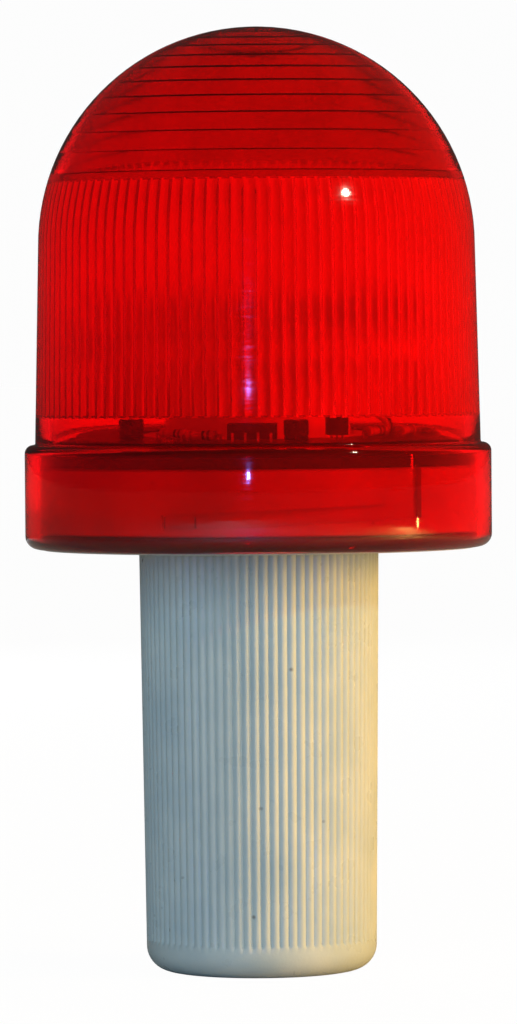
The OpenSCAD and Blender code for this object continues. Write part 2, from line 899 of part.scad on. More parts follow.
module wire_negative() {
    start_z = contact_ring_z + contact_t + touch;
    color([0.05, 0.05, 0.05])
        rotate([0, 0, wire_negative_deg])
            plane_wire([
                [contact_mid_r, start_z],
                [contact_mid_r, start_z + 1.5],
                [contact_mid_r - 1.5, start_z + 5],
                [contact_mid_r, plate_z - 2],
                [contact_mid_r, plate_z],
                [contact_mid_r, board_z]
            ], wire_r);
}

module wire_led(i, wire_color) {
    color(wire_color)
        rotate([0, 0, wire_led_deg[i]])
            plane_wire([
                [board_in_r + 2, board_top_z + touch],
                [board_in_r + 2, board_top_z + 3],
                [wire_led_r + 0.5, board_top_z + 8],
                [wire_led_r, head_top_z - head_h],
                [wire_led_r, led_board_top_z + 0.3]
            ], wire_r);
}

// ---- Cells ----

// The metal can of a cell, with its crimped foot and its nub
module cell_can(i) {
    r = cell_r - jacket_t - touch;
    body_h = cell_h - cell_nub_h - touch;
    foot_h = 0.3;
    foot_r = r - 2.2;
    step_r = r - 1.6;
    color(steel)
        translate([0, 0, cell_foot_z + i * cell_h]) {
            rotate_extrude()
                polygon([
                    [0, 0], [foot_r, 0], [step_r, foot_h], [r, foot_h], [r, body_h], [0, body_h]
                ]);
            translate([0, 0, body_h - sink])
                cylinder(r = cell_nub_r, h = cell_nub_h + sink);
        }
}

// The sleeve around a can, turned in over both ends
module cell_jacket(i) {
    body_h = cell_h - cell_nub_h;
    color([0.13, 0.14, 0.16])
        translate([0, 0, cell_foot_z + i * cell_h])
            ring(cell_r - jacket_t, cell_r, jacket_lip, body_h - 2 * jacket_lip);
}

// ---- Lens ----

// Half outline of the collar, with round outer edges
module collar_outline() {
    polygon([
        [0, lens_foot_z],
        [collar_r - collar_foot_round, lens_foot_z],
        [collar_r, lens_foot_z + collar_foot_round],
        [collar_r, collar_top_z - collar_top_round],
        [collar_r - collar_top_round, collar_top_z],
        [0, collar_top_z]
    ]);
    translate([collar_r - collar_foot_round, lens_foot_z + collar_foot_round])
        circle(r = collar_foot_round);
    translate([collar_r - collar_top_round, collar_top_z - collar_top_round])
        circle(r = collar_top_round);
}

// Half outline of the space under the dome: a smooth foot, then saw-tooth rings
function on_dome(deg, r) = [r * cos(deg), dome_z + r * sin(deg)];

module dome_hollow() {
    foot_steps = 4;
    polygon(concat(
        [[0, dome_z - over], [lens_bore_r, dome_z - over]],
        [for (i = [0:foot_steps]) on_dome(i * first_ring_deg / foot_steps, lens_bore_r)],
        [for (i = [0:dome_rings - 1]) each [
            on_dome(first_ring_deg + i * ring_pitch_deg, lens_bore_r - ring_depth),
            on_dome(first_ring_deg + (i + 1) * ring_pitch_deg, lens_bore_r)
        ]],
        [[0, dome_z + lens_bore_r]]
    ));
}

module lens() {
    color(lens_red) {
        rotate_extrude()
            difference() {
                union() {
                    collar_outline();
                    polygon([
                        [0, collar_top_z - over], [lens_foot_r, collar_top_z - over],
                        [lens_foot_r, collar_top_z], [lens_top_r, dome_z], [0, dome_z]
                    ]);
                    intersection() {
                        translate([0, dome_z])
                            circle(r = lens_top_r);
                        translate([0, dome_z])
                            square(2 * lens_top_r);
                    }
                }
                translate([0, lens_foot_z - over])
                    square([skirt_in_r, lens_seat_z - lens_foot_z + over]);
                translate([0, lens_seat_z - over])
                    square([lens_bore_r, dome_z - lens_seat_z + over]);
                dome_hollow();
            }
        around(flutes)
            translate([0, 0, collar_top_z + lens_band_h])
                linear_extrude(height = flute_top_z - collar_top_z - lens_band_h)
                    polygon([
                        [lens_bore_r - flute_depth, 0],
                        [lens_bore_r + flute_sink, -flute_w / 2],
                        [lens_bore_r + flute_sink, flute_w / 2]
                    ]);
        around(bayonet_count, bayonet_first_deg - lug_deg / 2)
            rotate_extrude(angle = lug_deg)
                translate([lug_in_r, lug_z - lug_h / 2])
                    square([skirt_in_r + sink - lug_in_r, lug_h]);
    }
}

// ---- Drawing ----

battery_tube();
flange_oring();
battery_spring();
negative_strip();
strip_rivet();
carrier_plate();
contact_ring();
lamp_tower();
tower_screws();
control_board();
board_screws();
on_board(284) capacitor();  // capacitor_1
on_board(216) capacitor();  // capacitor_2
resistors();
resistor_leads();
flasher_ic();
ic_pins();
transistor();
transistor_legs();
led_board();
led_board_screws();
led_leads();
photocell();
photocell_legs();
for (i = [1:led_count])
    led(i);
positive_contact();
contact_rivet();
wire_positive();
wire_negative();
wire_led(0, [0.85, 0.75, 0.1]);  // wire_led_a
wire_led(1, [0.1, 0.3, 0.7]);  // wire_led_b
cell_can(0);  // cell_can_lower
cell_can(1);  // cell_can_upper
cell_jacket(0);  // cell_jacket_lower
cell_jacket(1);  // cell_jacket_upper
lens();
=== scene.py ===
# %% [markdown]
# # A warning lamp for the top of a traffic cone
# The lamp is a ribbed battery tube with a cup on top, a small circuit on a black plate, a
# white column over the batteries, and a red lens that turns on the cup. The frame brings in
# every piece as it was designed, in metres, standing on its foot at the origin. Here the two
# big mouldings and the small bought-in pieces get their finished shapes, and every piece gets
# its material.

# %% Start from the frame
import math

import bmesh
import bpy
from mathutils import Matrix, Vector


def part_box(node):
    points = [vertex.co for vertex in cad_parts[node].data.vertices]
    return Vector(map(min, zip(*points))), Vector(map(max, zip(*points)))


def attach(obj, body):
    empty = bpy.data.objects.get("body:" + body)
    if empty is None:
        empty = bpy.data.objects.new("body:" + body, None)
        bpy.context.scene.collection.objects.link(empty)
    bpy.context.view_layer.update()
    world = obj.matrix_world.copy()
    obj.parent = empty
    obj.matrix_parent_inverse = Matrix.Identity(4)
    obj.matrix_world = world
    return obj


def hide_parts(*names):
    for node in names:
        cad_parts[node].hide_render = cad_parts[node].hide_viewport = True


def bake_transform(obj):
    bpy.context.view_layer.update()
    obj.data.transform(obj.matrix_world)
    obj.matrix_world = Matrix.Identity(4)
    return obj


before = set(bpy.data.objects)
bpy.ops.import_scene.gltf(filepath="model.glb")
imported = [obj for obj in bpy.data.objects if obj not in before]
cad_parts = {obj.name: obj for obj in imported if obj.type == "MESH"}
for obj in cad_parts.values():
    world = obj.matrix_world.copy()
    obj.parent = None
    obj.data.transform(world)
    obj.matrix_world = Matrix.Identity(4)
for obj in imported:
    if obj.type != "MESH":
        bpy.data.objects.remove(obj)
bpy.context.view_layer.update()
print("pieces from the frame:", len(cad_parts))

# %% [markdown]
# ## Small helpers
# Every size below is written in millimetres, as on the drawing, and `MM` turns it to metres.
# `add` puts one node into a tree: its settings first, then what goes into its sockets, where
# a socket is linked and anything else is set on the socket itself. `srgb` turns a colour
# picked as a hex value into the linear numbers that a shader works in.

# %% Units, colours and nodes
MM = 0.001


def srgb(hex_value):
    """A linear RGBA colour from a hex string."""
    parts = [int(hex_value[i:i + 2], 16) / 255 for i in (0, 2, 4)]
    linear = [p / 12.92 if p <= 0.04045 else ((p + 0.055) / 1.055) ** 2.4 for p in parts]
    return (*linear, 1.0)


def add(tree, kind, settings=None, inputs=None):
    """Adds a node to a tree, with its settings and what goes into its sockets."""
    made = tree.nodes.new(kind)
    for name, value in (settings or {}).items():
        setattr(made, name, value)
    for key, value in (inputs or {}).items():
        if isinstance(value, bpy.types.NodeSocket):
            tree.links.new(value, made.inputs[key])
        else:
            made.inputs[key].default_value = value
    return made


def math_chain(tree, first, *steps):
    """Feeds a value through Math nodes, each given as (operation, second value)."""
    value = first
    for operation, second in steps:
        value = add(tree, "ShaderNodeMath", {"operation": operation}, {0: value, 1: second}).outputs[0]
    return value


# %% [markdown]
# ## Running a Geometry Nodes tree
# A tree is a recipe with named inputs. `run_tree` gives it a starting mesh and the sizes,
# lets Blender work it out once, and keeps the plain mesh that comes out, so nothing is left
# that could change later. A closed mesh whose signed volume is negative is inside out, and
# then its faces are turned.

# %% A tree's inputs, and its result as a mesh
def new_tree(name, **inputs):
    """A Geometry Nodes tree that takes and gives geometry, with more inputs of named kinds."""
    tree = bpy.data.node_groups.new(name, "GeometryNodeTree")
    tree.interface.new_socket("Geometry", in_out="INPUT", socket_type="NodeSocketGeometry")
    tree.interface.new_socket("Geometry", in_out="OUTPUT", socket_type="NodeSocketGeometry")
    for label, kind in inputs.items():
        tree.interface.new_socket(label, in_out="INPUT", socket_type="NodeSocket" + kind)
    start = tree.nodes.new("NodeGroupInput").outputs
    end = tree.nodes.new("NodeGroupOutput").inputs[0]
    return tree, start, end


def finish_tree(tree, end, shape, finish):
    """Ends a tree: real geometry in place of instances, smooth faces, and its material."""
    real = add(tree, "GeometryNodeRealizeInstances", inputs={0: shape})
    smooth = add(tree, "GeometryNodeSetShadeSmooth", inputs={"Geometry": real.outputs[0]})
    painted = add(tree, "GeometryNodeSetMaterial", inputs={"Geometry": smooth.outputs[0], "Material": finish})
    tree.links.new(painted.outputs[0], end)


def signed_volume(mesh):
    """Six times a closed mesh's volume, negative if its faces point inwards."""
    mesh.calc_loop_triangles()
    points = [v.co for v in mesh.vertices]
    return sum(
        points[a].dot(points[b].cross(points[c]))
        for a, b, c in (t.vertices for t in mesh.loop_triangles))


def new_object(name, data):
    """An object at the origin that shows the mesh, light or camera."""
    made = bpy.data.objects.new(name, data)
    bpy.context.collection.objects.link(made)
    return made


def bake_modifier(host, modifier):
    """Replaces the object's mesh by what the modifier makes of it."""
    graph = bpy.context.evaluated_depsgraph_get()
    made = bpy.data.meshes.new_from_object(host.evaluated_get(graph), depsgraph=graph)
    host.modifiers.remove(modifier)
    host.data = made
    made.name = host.name


SHARP = math.radians(32)


def run_tree(tree, name, host_mesh, **values):
    """The tree's result on a starting mesh, as a new plain object at the origin."""
    host = new_object(name, host_mesh)
    modifier = host.modifiers.new("recipe", "NODES")
    modifier.node_group = tree
    for item in tree.interface.items_tree:
        if item.in_out == "INPUT" and item.name in values:
            modifier[item.identifier] = values[item.name]
    bake_modifier(host, modifier)
    # The result has an empty first slot before the tree's material, which is put back alone
    finish = host.data.materials[-1]
    host.data.materials.clear()
    host.data.materials.append(finish)
    host.data.polygons.foreach_set("material_index", [0] * len(host.data.polygons))
    if signed_volume(host.data) < 0:
        host.data.flip_normals()
    host.data.set_sharp_from_angle(angle=SHARP)
    print(f"{name}: {len(host.data.vertices)} points, {len(host.data.polygons)} faces")
    return host


# %% [markdown]
# ## Base shader and the steps of a finish
# `material` makes a Principled shader with plain values on its own sockets. What varies over
# a surface is worked out from a noise whose size is given in millimetres: `grain` is the
# small relief that a mould, a roll or a drawing die leaves, `worn` spreads the roughness
# between clean and handled, and `clouded` lets the colour drift between two shades. Most
# finishes are those three steps with their own sizes, and `surface` makes one in one go.

# %% Shader, relief, wear and drift
def material(name, color, rough, metal=0.0, **sockets):
    """A named Principled material with plain values."""
    made = bpy.data.materials.new(name)
    made.use_nodes = True
    shader = made.node_tree.nodes["Principled BSDF"]
    shader.inputs["Base Color"].default_value = srgb(color)
    shader.inputs["Roughness"].default_value = rough
    shader.inputs["Metallic"].default_value = metal
    for key, value in sockets.items():
        shader.inputs[key.replace("_", " ")].default_value = value
    print("finish:", name)
    return made, made.node_tree, shader


def noise(tree, size_mm, detail=2.0, stretch=(1, 1, 1)):
    """A noise over the piece with blotches of the given size, drawn out along the axes."""
    place = add(tree, "ShaderNodeTexCoord").outputs["Object"]
    drawn = add(tree, "ShaderNodeMapping", inputs={
        "Vector": place, "Scale": [1 / s for s in stretch]}).outputs[0]
    return add(tree, "ShaderNodeTexNoise", inputs={
        "Vector": drawn, "Scale": 1 / (size_mm * MM), "Detail": detail}).outputs["Fac"]


def spread(tree, value, low, high, from_low=0.35, from_high=0.65):
    """Maps the middle of a noise to the range from low to high."""
    return add(tree, "ShaderNodeMapRange", inputs={
        "Value": value, "From Min": from_low, "From Max": from_high,
        "To Min": low, "To Max": high}).outputs[0]


def grain(tree, shader, size_mm, depth_mm, stretch=(1, 1, 1), detail=2.0):
    """Relief of the given size and depth on the surface."""
    height = noise(tree, size_mm, detail, stretch)
    bump = add(tree, "ShaderNodeBump", inputs={
        "Strength": 1.0, "Distance": depth_mm * MM, "Height": height})
    if shader.inputs["Normal"].is_linked:
        tree.links.new(shader.inputs["Normal"].links[0].from_socket, bump.inputs["Normal"])
    tree.links.new(bump.outputs[0], shader.inputs["Normal"])


def worn(tree, shader, size_mm, low, high, stretch=(1, 1, 1)):
    """Roughness that varies between clean and handled."""
    tree.links.new(spread(tree, noise(tree, size_mm, 4.0, stretch), low, high), shader.inputs["Roughness"])


def blend_colors(tree, share, first, second):
    """One colour where share is 0 and the other where it is 1; each a hex value or a socket."""
    pair = [srgb(c) if isinstance(c, str) else c for c in (first, second)]
    return add(tree, "ShaderNodeMix", {"data_type": "RGBA"}, {
        0: share, 6: pair[0], 7: pair[1]}).outputs[2]


def clouded(tree, shader, size_mm, first, second, stretch=(1, 1, 1)):
    """Base colour that drifts between two shades."""
    share = spread(tree, noise(tree, size_mm, 3.0, stretch), 0.0, 1.0)
    tree.links.new(blend_colors(tree, share, first, second), shader.inputs["Base Color"])


def surface(name, color, rough, metal=0.0, drift=None, wear=None, relief=None, **sockets):
    """A material with the steps that are given: what `clouded`, `worn` and `grain` take."""
    made, tree, shader = material(name, color, rough, metal, **sockets)
    for step, values in ((clouded, drift), (worn, wear), (grain, relief)):
        if values:
            step(tree, shader, *values)
    return made


def specks(tree, size_mm, share):
    """1 on small scattered spots: share is how much of the surface they take."""
    place = add(tree, "ShaderNodeTexCoord").outputs["Object"]
    cells = add(tree, "ShaderNodeTexVoronoi", {"feature": "F1"}, {
        "Vector": place, "Scale": 1 / (size_mm * MM)})
    picked = add(tree, "ShaderNodeSeparateColor", inputs={0: cells.outputs["Color"]}).outputs[0]
    few = math_chain(tree, picked, ("LESS_THAN", share))
    round_spot = spread(tree, cells.outputs["Distance"], 1.0, 0.0, 0.1, 0.35)
    return math_chain(tree, few, ("MULTIPLY", round_spot))


# %% [markdown]
# ## Finish of the lens
# The lens is injection-moulded polycarbonate, dyed red through. Light that goes through it
# comes out a saturated red, some of it scattered by the dye, so it is part glass and part
# coloured plastic. Polycarbonate bends light more than acrylic does. Handling leaves fine
# marks that run around the lens, and they draw the glint of a lamp out upwards and break it
# up. Rays from lamps go through the plastic as through a red filter, so that the light
# reaches the pieces inside. The real plastic is one and the same all over. Here it has four
# finishes, chosen for their look: polished outside; matt, less clear and a lighter red on
# the reeds, where the lighter red is painted light that makes them glow; a darker red on the
# rings inside the dome, which is painted shade for the dark seen through it; and nearly black
# on the short steps between the rings, which is painted shade so that the steps show as dark
# lines.

# %% Red polycarbonate, in the lens's four finishes
POLYCARBONATE_IOR = 1.58
FILTER_RED = (0.86, 0.05, 0.06, 1)


def red_polycarbonate(look, color, rough, clear, drift, wear=None, relief=None):
    """The lens's plastic, where `clear` is how much of it is glass; lamps shine through it."""
    made = surface(
        "red_polycarbonate_" + look, color, rough, drift=drift, wear=wear, relief=relief,
        IOR=POLYCARBONATE_IOR, Transmission_Weight=clear)
    tree = made.node_tree
    filtered = add(tree, "ShaderNodeBsdfTransparent", inputs={"Color": FILTER_RED})
    lamp_rays = add(tree, "ShaderNodeLightPath").outputs["Is Shadow Ray"]
    either = add(tree, "ShaderNodeMixShader", inputs={
        0: lamp_rays, 1: tree.nodes["Principled BSDF"].outputs[0], 2: filtered.outputs[0]})
    tree.links.new(either.outputs[0], tree.nodes["Material Output"].inputs["Surface"])
    return made


red_plastic = red_polycarbonate(
    "polished", "E4020A", 0.04, 0.97, (30, "E4020A", "D20208"), relief=(0.7, 0.003, (9, 9, 1)))
tree = red_plastic.node_tree
scuffed = spread(tree, noise(tree, 9.0, 5.0), 0.02, 0.06)
rub_marks = spread(tree, noise(tree, 0.5, 2.0, (12, 12, 1)), 0.0, 0.05, 0.5, 0.75)
tree.links.new(
    math_chain(tree, scuffed, ("ADD", rub_marks)), tree.nodes["Principled BSDF"].inputs["Roughness"])
# The reeds' lighter red is painted light, to make the reeded band glow
red_reeds_painted_light = red_polycarbonate(
    "reeded", "FA040C", 0.35, 0.72, (25, "FA040C", "F0040C"), (4.0, 0.28, 0.4))
# The rings' darker red is painted shade, for the dark seen through the dome
red_rings_painted_shade = red_polycarbonate(
    "ringed", "A80208", 0.05, 0.95, (18, "B00208", "9C0207"), (6.0, 0.02, 0.05))
# The steps' near black is painted shade, so that they show as dark lines
red_steps_painted_shade = red_polycarbonate(
    "tool_step", "240104", 0.3, 0.4, (6, "2C0104", "1C0103"), (2.0, 0.25, 0.4))

# %% [markdown]
# ## Finish of the battery tube
# The tube is moulded in light grey polypropylene, a slightly waxy plastic that isn't quite
# even in colour. The mould was spark-eroded, which leaves a fine grain, drawn coarser here
# so that it shows, and handling leaves a few dark specks and shinier patches.

# %% Grey polypropylene
grey_plastic, tree, shader = material("grey_polypropylene_moulded", "C6CCC4", 0.36, IOR=1.49)
base_tint = spread(tree, noise(tree, 14, 3.0), 0.0, 1.0)
drift = blend_colors(tree, base_tint, "CDD1C7", "BDC5BF")
dirt = blend_colors(tree, specks(tree, 1.6, 0.012), drift, "8A877C")
tree.links.new(dirt, shader.inputs["Base Color"])
worn(tree, shader, 6, 0.26, 0.46)
grain(tree, shader, 0.55, 0.035)

# %% [markdown]
# ## A lathe made of nodes
# Both mouldings are bodies of revolution with fine ribs running up them, and so are most of
# the small pieces, without ribs. A lathe turns an outline around the axis: a grid has one row
# for each point of the outline and one column for each step around, and each grid point is
# moved to its place. The outline's points carry a number, `rib`, that says how far a rib
# stands out there, so ribs begin and end where the outline says. A rib's section is a half
# sine, round on top with a sharp valley, as a reeded mould cut with a round tool leaves it.
# A Spin or Screw modifier can't make ribs.

# %% The lathe
lathe, start, end = new_tree("lathe", Columns="Int", Ribs="Int", Material="Material")
outline = start["Geometry"]
columns = start["Columns"]
rows = add(lathe, "GeometryNodeAttributeDomainSize", inputs={0: outline}).outputs["Point Count"]
grid = add(lathe, "GeometryNodeMeshGrid", inputs={
    "Vertices X": math_chain(lathe, columns, ("ADD", 1.0)), "Vertices Y": rows})
index = add(lathe, "GeometryNodeInputIndex").outputs[0]
row = math_chain(lathe, index, ("MODULO", rows))
column = math_chain(lathe, math_chain(lathe, index, ("DIVIDE", rows)), ("FLOOR", 0.0))
place = add(lathe, "GeometryNodeSampleIndex", {"data_type": "FLOAT_VECTOR"}, {
    "Geometry": outline, "Value": add(lathe, "GeometryNodeInputPosition").outputs[0], "Index": row})
rib_number = add(lathe, "GeometryNodeInputNamedAttribute", {"data_type": "FLOAT"}, {"Name": "rib"})
rib_height = add(lathe, "GeometryNodeSampleIndex", {"data_type": "FLOAT"}, {
    "Geometry": outline, "Value": rib_number.outputs[0], "Index": row})
point = add(lathe, "ShaderNodeSeparateXYZ", inputs={0: place.outputs[0]}).outputs
turn = math_chain(lathe, column, ("DIVIDE", columns))
half_waves = math_chain(lathe, turn, ("MULTIPLY", start["Ribs"]), ("MULTIPLY", math.pi))
wave = math_chain(lathe, half_waves, ("SINE", 0.0), ("ABSOLUTE", 0.0), ("MULTIPLY", rib_height.outputs[0]))
radius = math_chain(lathe, wave, ("ADD", point["X"]))
angle = math_chain(lathe, turn, ("MULTIPLY", 2 * math.pi))
turned = add(lathe, "ShaderNodeCombineXYZ", inputs={
    "X": math_chain(lathe, math_chain(lathe, angle, ("COSINE", 0.0)), ("MULTIPLY", radius)),
    "Y": math_chain(lathe, math_chain(lathe, angle, ("SINE", 0.0)), ("MULTIPLY", radius)),
    "Z": point["Z"]})
moved = add(lathe, "GeometryNodeSetPosition", inputs={
    "Geometry": grid.outputs["Mesh"], "Position": turned.outputs[0]})
welded = add(lathe, "GeometryNodeMergeByDistance", inputs={"Geometry": moved.outputs[0], "Distance": 1e-6})
finish_tree(lathe, end, welded.outputs[0], start["Material"])


def polar(centre, radius_mm, deg, rib=0.0):
    """An outline point at an angle around a centre, in millimetres."""
    a = math.radians(deg)
    return (max(centre[0] + radius_mm * math.cos(a), 0.0), centre[1] + radius_mm * math.sin(a), rib)


def arc(centre, radius_mm, from_deg, to_deg, steps, rib=0.0):
    """Points of an arc in the outline's plane."""
    for i in range(steps + 1):
        yield polar(centre, radius_mm, from_deg + (to_deg - from_deg) * i / steps, rib)


def turn_outline(name, points, around, finish, ribs=0):
    """Turns an outline of (radius, height, rib) points, in millimetres, on the lathe."""
    points = [(p[0], p[1], p[2] if len(p) > 2 else 0.0) for p in points]
    mesh = bpy.data.meshes.new(name + "_outline")
    mesh.from_pydata([(x * MM, 0.0, z * MM) for x, z, _ in points], [], [])
    rib = mesh.attributes.new("rib", "FLOAT", "POINT")
    rib.data.foreach_set("value", [r * MM for _, _, r in points])
    return run_tree(lathe, name, mesh, Columns=around, Ribs=ribs, Material=finish)


def box_mm(node):
    """Lowest and highest corner of a piece from the frame, in millimetres."""
    return [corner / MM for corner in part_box(node)]


# %% [markdown]
# ## Cutting and joining
# Lugs, slots, guides and recesses are solids of their own first. `wedge` is a block between
# two radii and two angles whose floor and roof may climb as it goes round, and `plate` is a
# flat outline with a thickness, standing on a radius. A Boolean then joins them to the
# moulding or cuts them out of it, which leaves one closed skin.

# %% Blocks, and the Boolean
def at(deg, r, z):
    """The point at an angle, a radius and a height."""
    return (r * math.cos(math.radians(deg)), r * math.sin(math.radians(deg)), z)


def closed_mesh(name, points, faces):
    """A mesh from points in millimetres, with its faces turned outwards."""
    mesh = bpy.data.meshes.new(name)
    mesh.from_pydata([Vector(p) * MM for p in points], [], faces)
    shape = bmesh.new()
    shape.from_mesh(mesh)
    bmesh.ops.recalc_face_normals(shape, faces=shape.faces)
    shape.to_mesh(mesh)
    shape.free()
    return mesh


def wedge(r_in, r_out, from_deg, to_deg, low_at, high_at, steps):
    """A block between two radii whose lowest and highest heights depend on the angle."""
    points, faces = [], []
    for i in range(steps + 1):
        deg = from_deg + (to_deg - from_deg) * i / steps
        low, high = low_at(deg), high_at(deg)
        points += [at(deg, r, z) for r, z in ((r_in, low), (r_out, low), (r_out, high), (r_in, high))]
    for i in range(steps):
        for j in range(4):
            k = (j + 1) % 4
            faces.append((4 * i + j, 4 * i + k, 4 * i + 4 + k, 4 * i + 4 + j))
    faces += [(3, 2, 1, 0), tuple(4 * steps + j for j in range(4))]
    return closed_mesh("wedge", points, faces)


def plate(outline_rz, thickness, deg):
    """A flat outline of (radius, height) points, given a thickness, on the radius at an angle."""
    n = len(outline_rz)
    across = Matrix.Rotation(math.radians(deg), 3, "Z")
    points = [across @ Vector((r, y, z)) for y in (-thickness / 2, thickness / 2) for r, z in outline_rz]
    faces = [tuple(range(n)), tuple(reversed(range(n, 2 * n)))]
    faces += [(i, (i + 1) % n, n + (i + 1) % n, n + i) for i in range(n)]
    return closed_mesh("plate", points, faces)


def combine(piece, operation, meshes):
    """Joins solids to a piece (UNION) or cuts them out of it (DIFFERENCE)."""
    for mesh in meshes:
        mesh.materials.append(piece.data.materials[0])
        tool = new_object("tool", mesh)
        modifier = piece.modifiers.new("combine", "BOOLEAN")
        modifier.operation = operation
        modifier.solver = "MANIFOLD"
        modifier.object = tool
        bake_modifier(piece, modifier)
        bpy.data.objects.remove(tool)
    piece.data.set_sharp_from_angle(angle=SHARP)
    print(f"{piece.name}: {operation.lower()} with {len(meshes)}, now {len(piece.data.polygons)} faces")


# %% [markdown]
# ## The lens
# The red lens is one injection moulding: a collar with rounded edges, a wall that leans in a
# little so that it leaves the mould, and a dome. Inside, 108 upright reeds cover the wall and
# spread the light sideways, and stepped rings cover the dome and spread it up and down. Three
# lugs inside the collar hold it in the cup's slots.

# %% Sizes of the lens, from the frame's boxes
lens_low, lens_high = box_mm("lens")
COLLAR_R = lens_high.x
COLLAR_FOOT = lens_low.z
COLLAR_TOP = COLLAR_FOOT + 21.6
COLLAR_FOOT_ROUND = 2.7
COLLAR_TOP_ROUND = 1.8
SKIRT_R = COLLAR_R - 2.8
BOARD_BOSS_H = 0.8
SLIP = 0.3
SEAT_Z = box_mm("carrier_plate")[1].z - BOARD_BOSS_H + SLIP
LEDGE = 2.2
LEDGE_FILLET = 0.35
WALL_FOOT_R = COLLAR_R - LEDGE
WALL_TOP_R = WALL_FOOT_R - 0.95
BORE_R = WALL_TOP_R - 2.05
DOME_Z = lens_high.z - WALL_TOP_R
REEDS = 108
REED_DEPTH = 0.7
REED_FOOT_Z = COLLAR_TOP + 5.7
REED_FADE_Z = 0.4
REED_TOP_DEG = 16.6
REED_END_DEG = REED_TOP_DEG + 0.5
SMOOTH_EDGE = 0.3
ALONG_WALL = (0.25, 0.5, 0.75)
RINGS = 11
RING_FIRST_DEG = 19.3
RING_PITCH_DEG = 5.85
RING_DEPTH = 0.6
print(f"collar {2 * COLLAR_R:.1f} mm across, dome from {DOME_Z:.1f} mm up")


# %% The lens's outline, from the top of the dome, down outside and up inside
def lens_outline():
    centre = (0.0, DOME_Z)
    yield from arc(centre, WALL_TOP_R, 90, 0, 30)
    for share in ALONG_WALL:
        yield (WALL_TOP_R + share * (WALL_FOOT_R - WALL_TOP_R), DOME_Z + share * (COLLAR_TOP - DOME_Z))
    yield from arc((WALL_FOOT_R + LEDGE_FILLET, COLLAR_TOP + LEDGE_FILLET), LEDGE_FILLET, 180, 270, 4)
    yield from arc((COLLAR_R - COLLAR_TOP_ROUND, COLLAR_TOP - COLLAR_TOP_ROUND), COLLAR_TOP_ROUND, 90, 0, 8)
    yield from arc(
        (COLLAR_R - COLLAR_FOOT_ROUND, COLLAR_FOOT + COLLAR_FOOT_ROUND), COLLAR_FOOT_ROUND, 0, -90, 9)
    yield (SKIRT_R, COLLAR_FOOT)
    yield (SKIRT_R, SEAT_Z)
    yield (BORE_R, SEAT_Z)
    # Close below the reeds, so that their shading doesn't run down the smooth band
    yield (BORE_R, REED_FOOT_Z - SMOOTH_EDGE)
    yield (BORE_R, REED_FOOT_Z)
    yield (BORE_R, REED_FOOT_Z + REED_FADE_Z, -REED_DEPTH)
    for share in ALONG_WALL:
        yield (BORE_R, REED_FOOT_Z + share * (DOME_Z - REED_FOOT_Z), -REED_DEPTH)
    yield from arc(centre, BORE_R, 0, REED_TOP_DEG, 5, -REED_DEPTH)
    yield from arc(centre, BORE_R, REED_END_DEG, RING_FIRST_DEG, 1)
    for i in range(RINGS):
        low = RING_FIRST_DEG + i * RING_PITCH_DEG
        yield polar(centre, BORE_R - RING_DEPTH, low)
        yield polar(centre, BORE_R - RING_DEPTH / 2, low + RING_PITCH_DEG / 2)
        yield polar(centre, BORE_R, low + RING_PITCH_DEG)
    yield (0.0, DOME_Z + BORE_R)


lens = turn_outline("red_lens", lens_outline(), 6 * REEDS, red_plastic, REEDS)

# %% Bayonet sizes, and the lens's lugs
CUP_R = SKIRT_R - 0.4
FLANGE_Z = COLLAR_FOOT - 0.2
GROOVE_LOW_Z = FLANGE_Z + 1.7
GROOVE_H = 2.2
LUG_DEGS = (10, 130, 250)
LUG_WIDTH_DEG = 8
LUG_H = 2.4
LUG_REACH = 1.0
SLOT_PLAY = 0.4
LUG_Z = GROOVE_LOW_Z + GROOVE_H + 1.2 + SLOT_PLAY + LUG_H / 2
SINK = 0.5
combine(lens, "UNION", [
    wedge(CUP_R - LUG_REACH, SKIRT_R + SINK, deg - LUG_WIDTH_DEG / 2, deg + LUG_WIDTH_DEG / 2,
          lambda _: LUG_Z - LUG_H / 2, lambda _: LUG_Z + LUG_H / 2, 6)
    for deg in LUG_DEGS])

# %% Finishes inside the lens: matt reeds with painted light, rings and steps in painted shade
for finish in (red_reeds_painted_light, red_rings_painted_shade, red_steps_painted_shade):
    lens.data.materials.append(finish)
REEDS_PAINTED_LIGHT, RINGS_PAINTED_SHADE, STEPS_PAINTED_SHADE = 1, 2, 3
STEP_TILT = 0.5
INSIDE_R = BORE_R + 0.2
reeds_high_z = DOME_Z + BORE_R * math.sin(math.radians(REED_END_DEG))
dome_middle = Vector((0, 0, DOME_Z * MM))
for face in lens.data.polygons:
    r, z = face.center.xy.length / MM, face.center.z / MM
    if REED_FOOT_Z < z < reeds_high_z and r < BORE_R:
        face.material_index = REEDS_PAINTED_LIGHT
    elif z > reeds_high_z and math.hypot(r, z - DOME_Z) < INSIDE_R:
        outward = (face.center - dome_middle).normalized()
        is_step = abs(face.normal.dot(outward)) < STEP_TILT
        face.material_index = STEPS_PAINTED_SHADE if is_step else RINGS_PAINTED_SHADE
looks = [face.material_index for face in lens.data.polygons]
print("reeds, rings, steps:", [looks.count(look) for look in (REEDS_PAINTED_LIGHT, RINGS_PAINTED_SHADE, STEPS_PAINTED_SHADE)])
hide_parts("lens")
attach(lens, "lens")

# %% [markdown]
# ## The battery tube
# The grey moulding is a tapered tube with 80 reeds outside, a smooth band and a rounded foot
# below them, and the flange and cup on top. Inside, six guide ribs centre the cells. The cup
# has a groove for the sealing ring, three keys that stop the carrier from turning, and three
# bayonet slots that climb as they go round and then leave through the rim.

